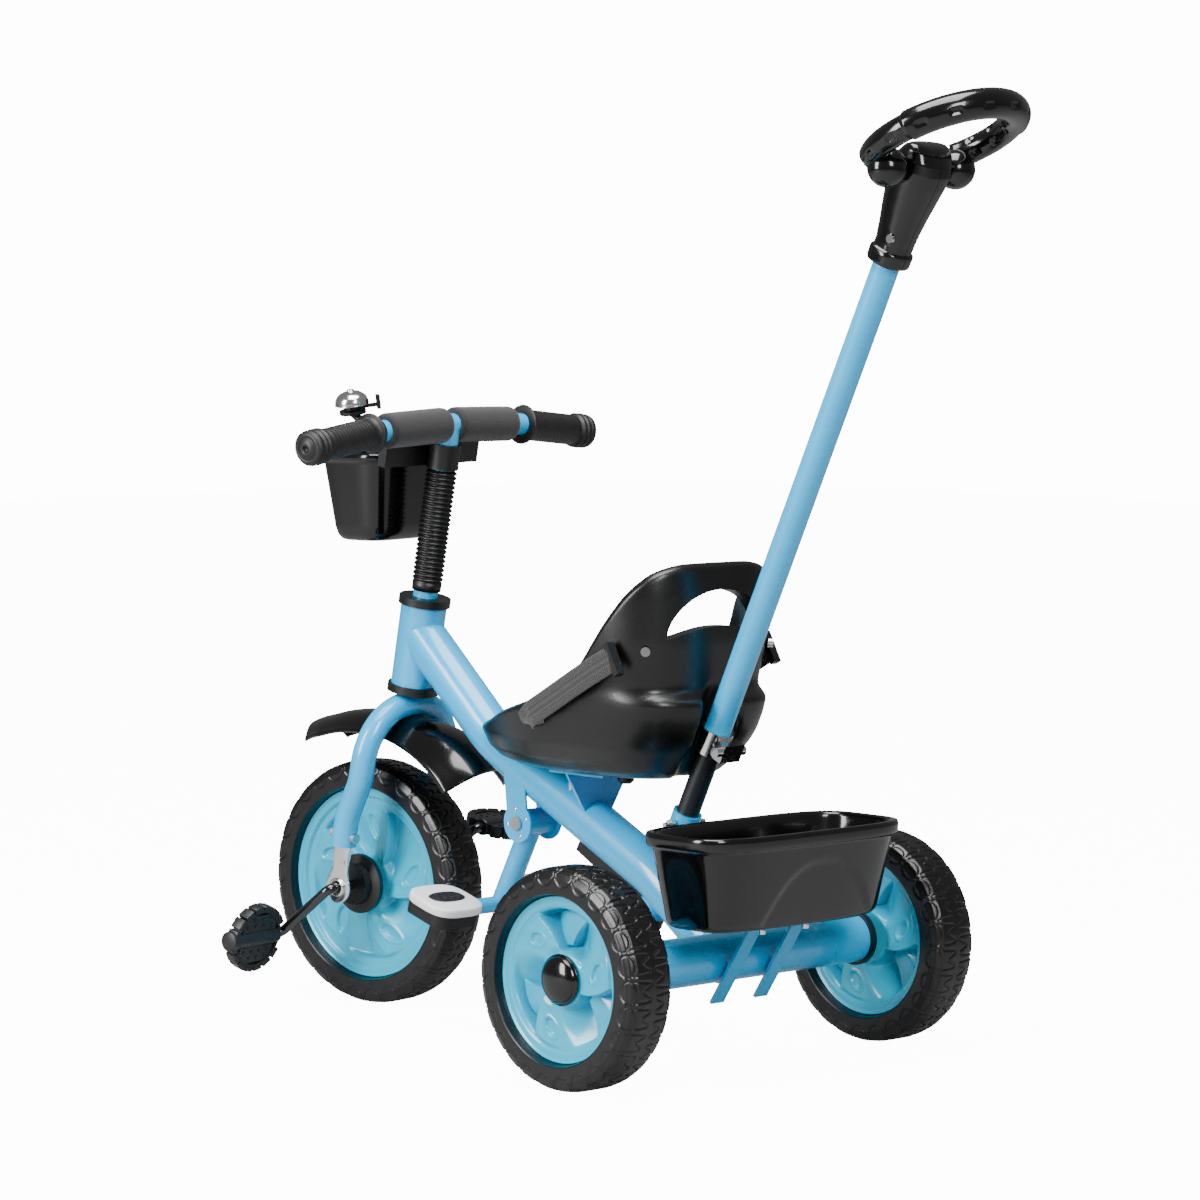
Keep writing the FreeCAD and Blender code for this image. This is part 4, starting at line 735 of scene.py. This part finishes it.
# ---- Handlebar sleeves and grips ---------------------------------------------------------
# Two sleeves of charcoal nitrile foam are pushed on beside the stem. The rubber grips have a
# hand guard, fine rings along them and a mushroom end with three steps and a vent hole.
nitrile_foam, tree, shader = new_material("nitrile_foam_charcoal", Sheen_Weight=0.25)
speckle(tree, shader, linear("#131315"), linear("#1B1B1D"), 2600, 0.6, 0.0003, (0.75, 0.9))
grip_rubber, tree, shader = new_material("moulded_grip_rubber", IOR=1.48)
speckle(tree, shader, linear("#0B0B0C"), linear("#131315"), 1500, 0.35, 0.00025, (0.42, 0.56))
BAR_TOP = Vector((0, 0, 0.273))
for side, name in ((1, "left"), (-1, "right")):
    knee = Vector((side * 0.100, 0, 0.270))
    tip = Vector((side * 0.205, 0.007, 0.259))
    way = (knee - BAR_TOP).normalized()
    place = column @ Matrix.Translation(BAR_TOP) @ way.to_track_quat("Z", "Y").to_matrix().to_4x4()
    profile = [(0.0111, 0.0072), (0.0145, 0.0070), (0.0163, 0.0078), (0.0172, 0.0095), (0.0175, 0.012),
               (0.0175, 0.030), (0.0176, 0.060), (0.0175, 0.087), (0.0172, 0.0895), (0.0163, 0.0912),
               (0.0145, 0.0920), (0.0111, 0.0918)]
    turned_piece(refine(profile, 0.002), 96, place, f"foam_sleeve_{name}", nitrile_foam, "steering",
                 ("foam_sleeves",) if side > 0 else ())
    way = (tip - knee).normalized()
    place = (column @ Matrix.Translation(knee + way * 0.010)
             @ way.to_track_quat("Z", "Y").to_matrix().to_4x4())
    profile = [(0.0112, 0.0), (0.0182, 0.0), (0.0196, 0.0006), (0.0200, 0.0018), (0.0196, 0.0030),
               (0.0182, 0.0038), (0.0162, 0.0055), (0.0155, 0.0085)]
    for ring in range(13):
        foot = 0.012 + ring * 0.0046
        profile += [(0.0152, foot), (0.0156, foot + 0.0012), (0.0156, foot + 0.0030),
                    (0.0152, foot + 0.0042)]
    profile += [(0.0148, 0.0735), (0.0148, 0.0762), (0.0170, 0.0770), (0.0176, 0.0785), (0.0170, 0.0805),
                (0.0158, 0.0812), (0.0158, 0.0822), (0.0174, 0.0832), (0.0178, 0.0850), (0.0172, 0.0868),
                (0.0160, 0.0875), (0.0160, 0.0885), (0.0172, 0.0895), (0.0175, 0.0915), (0.0168, 0.0945),
                (0.0145, 0.0965), (0.0122, 0.0975), (0.0117, 0.0968), (0.0107, 0.0968), (0.0100, 0.0980),
                (0.0060, 0.0993), (0.0036, 0.0997), (0.0030, 0.0990), (0.0028, 0.0965), (0.0, 0.0965)]
    turned_piece(profile, 96, place, f"grip_rubber_{name}", grip_rubber, "steering",
                 (f"grip_{name}",))


# ---- Bell --------------------------------------------------------------------------------
# A drawn dome, nickel plated, on a moulded base; a small nut holds it down.
bell_joint = next(j for j in frame["joints"] if j["name"] == "bell_lever_swing")
bell_way = Vector(bell_joint["axis"])
bell_place = (Matrix.Translation(bell_joint["pos_m"])
              @ bell_way.to_track_quat("Z", "Y").to_matrix().to_4x4())
dome = [(0.0151, 0.0), (0.0165, 0.0), (0.0168, 0.0006), (0.0165, 0.0012)]
for step in range(19):
    rise = math.radians(5 * step)
    dome.append((0.0163 * math.cos(rise) ** 0.8 + 0.0001, 0.0018 + 0.0115 * math.sin(rise)))
dome = dome[:-2] + [(0.0036, 0.0133), (0.0036, 0.0143), (0.0031, 0.0149), (0.0, 0.0151)]
turned_piece(dome, 96, bell_place, "bell_dome_shell", bright_plate, "steering",
             ("bell_dome",))


# ---- Push bar handle ---------------------------------------------------------------------
# Two gloss polypropylene half shells grip the top of the tube. The ring handle turns between
# them on two balls, and a softer sleeve is moulded over its far side, with oval grip pits.
PUSH_LEAN = math.radians(-25.5)
push_place = Matrix.Translation(socket_mouth) @ Matrix.Rotation(PUSH_LEAN, 4, "X")
hub_stops = [(0.570, 0.0176, 0.0176, 0.0), (0.572, 0.0186, 0.0186, 0.0), (0.580, 0.0190, 0.0190, 0.0),
             (0.583, 0.0186, 0.0186, 0.0), (0.5845, 0.0166, 0.0166, 0.0), (0.590, 0.0166, 0.0166, 0.0),
             (0.604, 0.0178, 0.0182, -0.0006), (0.620, 0.0202, 0.0205, -0.0012),
             (0.636, 0.0228, 0.0228, -0.0012), (0.650, 0.0252, 0.0240, -0.0006),
             (0.662, 0.0262, 0.0240, 0.0), (0.672, 0.0258, 0.0216, 0.0), (0.680, 0.0243, 0.0160, 0.0),
             (0.684, 0.0222, 0.0104, 0.0), (0.6858, 0.0190, 0.0050, 0.0), (0.6862, 0.0150, 0.0, 0.0)]


def hub_shape(u, v):
    """The hub's outside, from its collar up over its round head."""
    height = 0.570 + 0.1162 * v
    half_x, half_y, shift = through(hub_stops, height)
    x, y = rounded(2 * math.pi * u, half_x, shift - half_y, shift + half_y, 2.5, 2.5)
    return x, y, height


for side, name in ((1, "left"), (-1, "right")):
    bm = skin(96, 120, hub_shape)
    bmesh.ops.holes_fill(bm, edges=[e for e in bm.edges if e.is_boundary], sides=0)
    parts = bm.verts[:] + bm.edges[:] + bm.faces[:]
    bmesh.ops.bisect_plane(bm, geom=parts, plane_co=(side * 0.00025, 0, 0), plane_no=(side, 0, 0),
                           clear_inner=True)
    bmesh.ops.holes_fill(bm, edges=[e for e in bm.edges if e.is_boundary], sides=0)
    bmesh.ops.recalc_face_normals(bm, faces=bm.faces)
    bm.transform(push_place)
    shell = put_mesh(bm, f"hub_shell_{name}", gloss_plastic, "push_bar",
                     (f"handle_hub_{name}",))
    split_edges(shell, 50)

tilt_joint = next(j for j in frame["joints"] if j["name"] == "handle_tilt")
RING_TILT = math.radians(24.7)
ring_place = Matrix.Translation(tilt_joint["pos_m"]) @ Matrix.Rotation(RING_TILT, 4, "X")
BALL_REACH = 0.045
RING_RADIUS = 0.0662
ring_middle = Vector((0, 0.0348, 0.0144))
gap_angle = math.atan2(ring_middle.y, 0.047)


def ring_shape(u, v):
    """The round bar of the ring; the sleeve stands proud of it, and pits are pressed in."""
    angle = -gap_angle + (math.pi + 2 * gap_angle) * v
    degrees = math.degrees(angle)
    sleeve = smooth(degrees, 13.5, 16.5) * (1 - smooth(degrees, 148.5, 151.5))
    theta = 2 * math.pi * u
    thick = 0.0120 + 0.0018 * sleeve
    pitch = 24
    nearest = round((degrees - 3) / pitch) * pitch + 3
    along = math.radians(degrees - nearest) * RING_RADIUS
    for degrees_round, deep in ((150, 0.0022), (215, 0.0022), (330, 0.0018)):
        turn_by = (theta - math.radians(degrees_round) + math.pi) % (2 * math.pi) - math.pi
        thick -= deep * math.exp(-((along / 0.0048) ** 4) - ((turn_by * thick / 0.0030) ** 4))
    outward = Vector((math.cos(angle), math.sin(angle), 0))
    spot = ring_middle + outward * (RING_RADIUS + thick * math.cos(theta))
    spot.z += thick * math.sin(theta)
    return spot


bm = skin(84, 520, ring_shape)
bmesh.ops.holes_fill(bm, edges=[e for e in bm.edges if e.is_boundary], sides=0)
for side in (1, -1):
    ball = bmesh.ops.create_uvsphere(bm, u_segments=56, v_segments=32, radius=0.018)
    bmesh.ops.translate(bm, verts=ball["verts"], vec=(side * BALL_REACH, 0, 0))
    end = ring_middle + Vector((side * math.cos(gap_angle), -math.sin(gap_angle), 0)) * RING_RADIUS
    ball_middle = Vector((side * BALL_REACH, 0, 0))
    link_way = end - ball_middle
    middle = Matrix.Translation(ball_middle + link_way / 2)
    aim_link = link_way.to_track_quat("Z", "Y").to_matrix().to_4x4()
    bmesh.ops.create_cone(bm, cap_ends=True, segments=56, radius1=0.0118, radius2=0.0118,
                          depth=link_way.length, matrix=middle @ aim_link)
bmesh.ops.recalc_face_normals(bm, faces=bm.faces)
bm.transform(ring_place)
put_mesh(bm, "handle_ring_moulding", gloss_plastic, "handle",
         ("handle_ring", "handle_ring_sleeve"))


# ---- Pedals ------------------------------------------------------------------------------
# Round pedals moulded in dark grey polypropylene: a ring of square treads round a thin plate
# with rows of studs, and a barrel that turns on the end of the crank.
pedal_grey, tree, shader = new_material("moulded_polypropylene_dark_grey", IOR=1.49)
speckle(tree, shader, linear("#131417"), linear("#1B1C1F"), 1500, 0.4, 0.00025, (0.38, 0.5))
for side, name, pitch in ((1, "left", 74), (-1, "right", -12)):
    pedal_joint = next(j for j in frame["joints"] if j["name"] == f"{name}_pedal_spin")
    place = (Matrix.Translation(pedal_joint["pos_m"]) @ steer_turn.to_3x3().to_4x4()
             @ Matrix.Rotation(math.radians(pitch), 4, "X"))
    bm = bmesh.new()
    treads = 16
    for tread in range(treads):
        angle = 2 * math.pi * (tread + 0.5) / treads
        if side * math.cos(angle) < -0.92:
            continue
        block = bmesh.ops.create_cube(bm, size=1, matrix=Matrix.Rotation(angle, 4, "Z")
                                      @ Matrix.Translation((0.0322, 0, 0))
                                      @ Matrix.Diagonal((0.0054, 0.0112, 0.013, 1)))
        edges = list({edge for vert in block["verts"] for edge in vert.link_edges})
        bmesh.ops.bevel(bm, geom=edges, offset=0.0011, segments=2, profile=0.5, affect="EDGES",
                        material=-1)
    for across in (1, -1):
        for along in (-0.0165, -0.0055, 0.0055, 0.0165):
            for reach in (0.0135, 0.0205):
                if math.hypot(along, reach) < 0.0275:
                    stud = Matrix.Translation((along + 0.002 * (reach > 0.015), across * reach, 0))
                    bmesh.ops.create_cone(bm, cap_ends=True, segments=20, radius1=0.0016, radius2=0.0016,
                                          depth=0.0102, matrix=stud)
        plate = bmesh.ops.create_cube(bm, size=1, matrix=Matrix.Translation((0.0, across * 0.0165, 0))
                                      @ Matrix.Diagonal((0.046, 0.0170, 0.0085, 1)))
        corners = [e for e in {edge for vert in plate["verts"] for edge in vert.link_edges}
                   if abs((e.verts[0].co - e.verts[1].co).z) > 0.004
                   and abs(e.verts[0].co.y) > 0.02]
        bmesh.ops.bevel(bm, geom=corners, offset=0.0095, segments=6, profile=0.5, affect="EDGES",
                        material=-1)
    band = spun([(0.0278, -0.0052), (0.0304, -0.0056), (0.0304, 0.0056), (0.0278, 0.0052)], 96,
                closed=True)
    merge(bm, band)
    barrel = spun([(0.0052, -0.030), (0.0078, -0.030), (0.0085, -0.0293), (0.0088, -0.027), (0.0088, 0.028),
                   (0.0096, 0.0285), (0.0104, 0.030), (0.0106, 0.034), (0.0100, 0.0372), (0.0070, 0.0385),
                   (0.0, 0.0388)], 64)
    barrel.transform(Matrix.Rotation(math.radians(90 * side), 4, "Y"))
    merge(bm, barrel)
    bmesh.ops.recalc_face_normals(bm, faces=bm.faces)
    bm.transform(place)
    pedal = put_mesh(bm, f"pedal_moulding_{name}", pedal_grey, f"{name}_pedal",
                     (f"pedal_{name}",))
    split_edges(pedal, 38)


# ---- Footrest pads -----------------------------------------------------------------------
# White polypropylene covers, D-shaped, with a lens-shaped grey inset and moulded dashes,
# snapped over black bases on the cross bar.
white_plastic, tree, shader = new_material("moulded_polypropylene_white", IOR=1.5)
speckle(tree, shader, linear("#DADADA"), linear("#E6E6E6"), 1400, 0.2, 0.0002, (0.3, 0.4))
pad_pitch = math.radians(-17)
PAD_REACH = 0.068
hinge_spot = Vector(next(j for j in frame["joints"] if j["name"] == "footrest_fold")["pos_m"])
cross_drop = Matrix.Rotation(math.radians(-27.4), 4, "X") @ Vector((0, 0, -0.0957))
pad_foot = Matrix.Translation(hinge_spot + cross_drop + Vector((0, -0.0116, -0.008)))
pad_place = pad_foot @ Matrix.Rotation(pad_pitch, 4, "X")
slab = [(0.00, 0.0, 0.0060, 0.0125), (0.05, 1.0, 0.0030, 0.0122), (0.10, 1.0, 0.0008, 0.0122),
        (0.20, 1.0, 0.0, 0.0132), (0.40, 1.0, 0.0, 0.0185), (0.50, 1.0, 0.0006, 0.0202),
        (0.58, 1.0, 0.0022, 0.0210), (0.70, 0.80, 0.0060, 0.0210), (1.00, 0.0, 0.0060, 0.0208)]
for side, name in ((1, "left"), (-1, "right")):
    def pad_shape(u, v):
        """A D-shaped slab with rounded edges, straight on its inner side."""
        spread, inset, height = through(slab, v)
        x, y = rounded(2 * math.pi * u + math.pi / 2, 0.032 - inset, inset - 0.031, 0.031 - inset, 3.2, 3.2)
        return (PAD_REACH + x * spread) * side, y * spread, height
    bm = skin(120, 70, pad_shape)
    bmesh.ops.recalc_face_normals(bm, faces=bm.faces)
    bm.transform(pad_place)
    put_mesh(bm, f"footrest_cover_{name}", white_plastic, "footrest",
             ("footrest_pad_covers",) if side > 0 else ())
    inset_stops = [(0.0, 0.0, 0.0212), (0.86, 0.94, 0.0213), (1.0, 1.0, 0.0206)]

    def inset_shape(u, v):
        """The raised lens in the middle of a pad."""
        spread, height = through(inset_stops, v)
        x, y = rounded(2 * math.pi * u, 0.021, -0.011, 0.011, 2.4, 2.4)
        return (PAD_REACH + x * spread) * side, y * spread, height + 0.0006
    bm = skin(72, 14, inset_shape)
    for dash in range(4):
        along = (dash - 1.5) * 0.0085
        dash_place = Matrix.Translation((side * (PAD_REACH + along), 0, 0.0222))
        bar = bmesh.ops.create_cube(bm, size=1, matrix=dash_place
                                    @ Matrix.Diagonal((0.0032, 0.013, 0.0012, 1)))
        edges = list({edge for vert in bar["verts"] for edge in vert.link_edges})
        bmesh.ops.bevel(bm, geom=edges, offset=0.0004, segments=2, profile=0.5, affect="EDGES",
                        material=-1)
    bmesh.ops.recalc_face_normals(bm, faces=bm.faces)
    bm.transform(pad_place)
    lens = put_mesh(bm, f"footrest_inset_{name}", pedal_grey, "footrest")
    split_edges(lens, 38)


# ---- Rivets ------------------------------------------------------------------------------
# Dome-headed steel rivets, nickel plated, pull the footrest's hinge plates together round the
# pivot: four to a side.
bm = bmesh.new()
for side in (1, -1):
    for turn_by in (20, 100, 190, 290):
        angle = math.radians(turn_by)
        spot = hinge_spot + Vector((side * 0.0210, math.cos(angle) * 0.0135, math.sin(angle) * 0.0135))
        dome_place = Matrix.Translation(spot) @ Matrix.Diagonal((0.0013, 0.0024, 0.0024, 1))
        bmesh.ops.create_uvsphere(bm, u_segments=24, v_segments=12, radius=1, matrix=dome_place)
put_mesh(bm, "hinge_rivets", bright_plate, "frame")
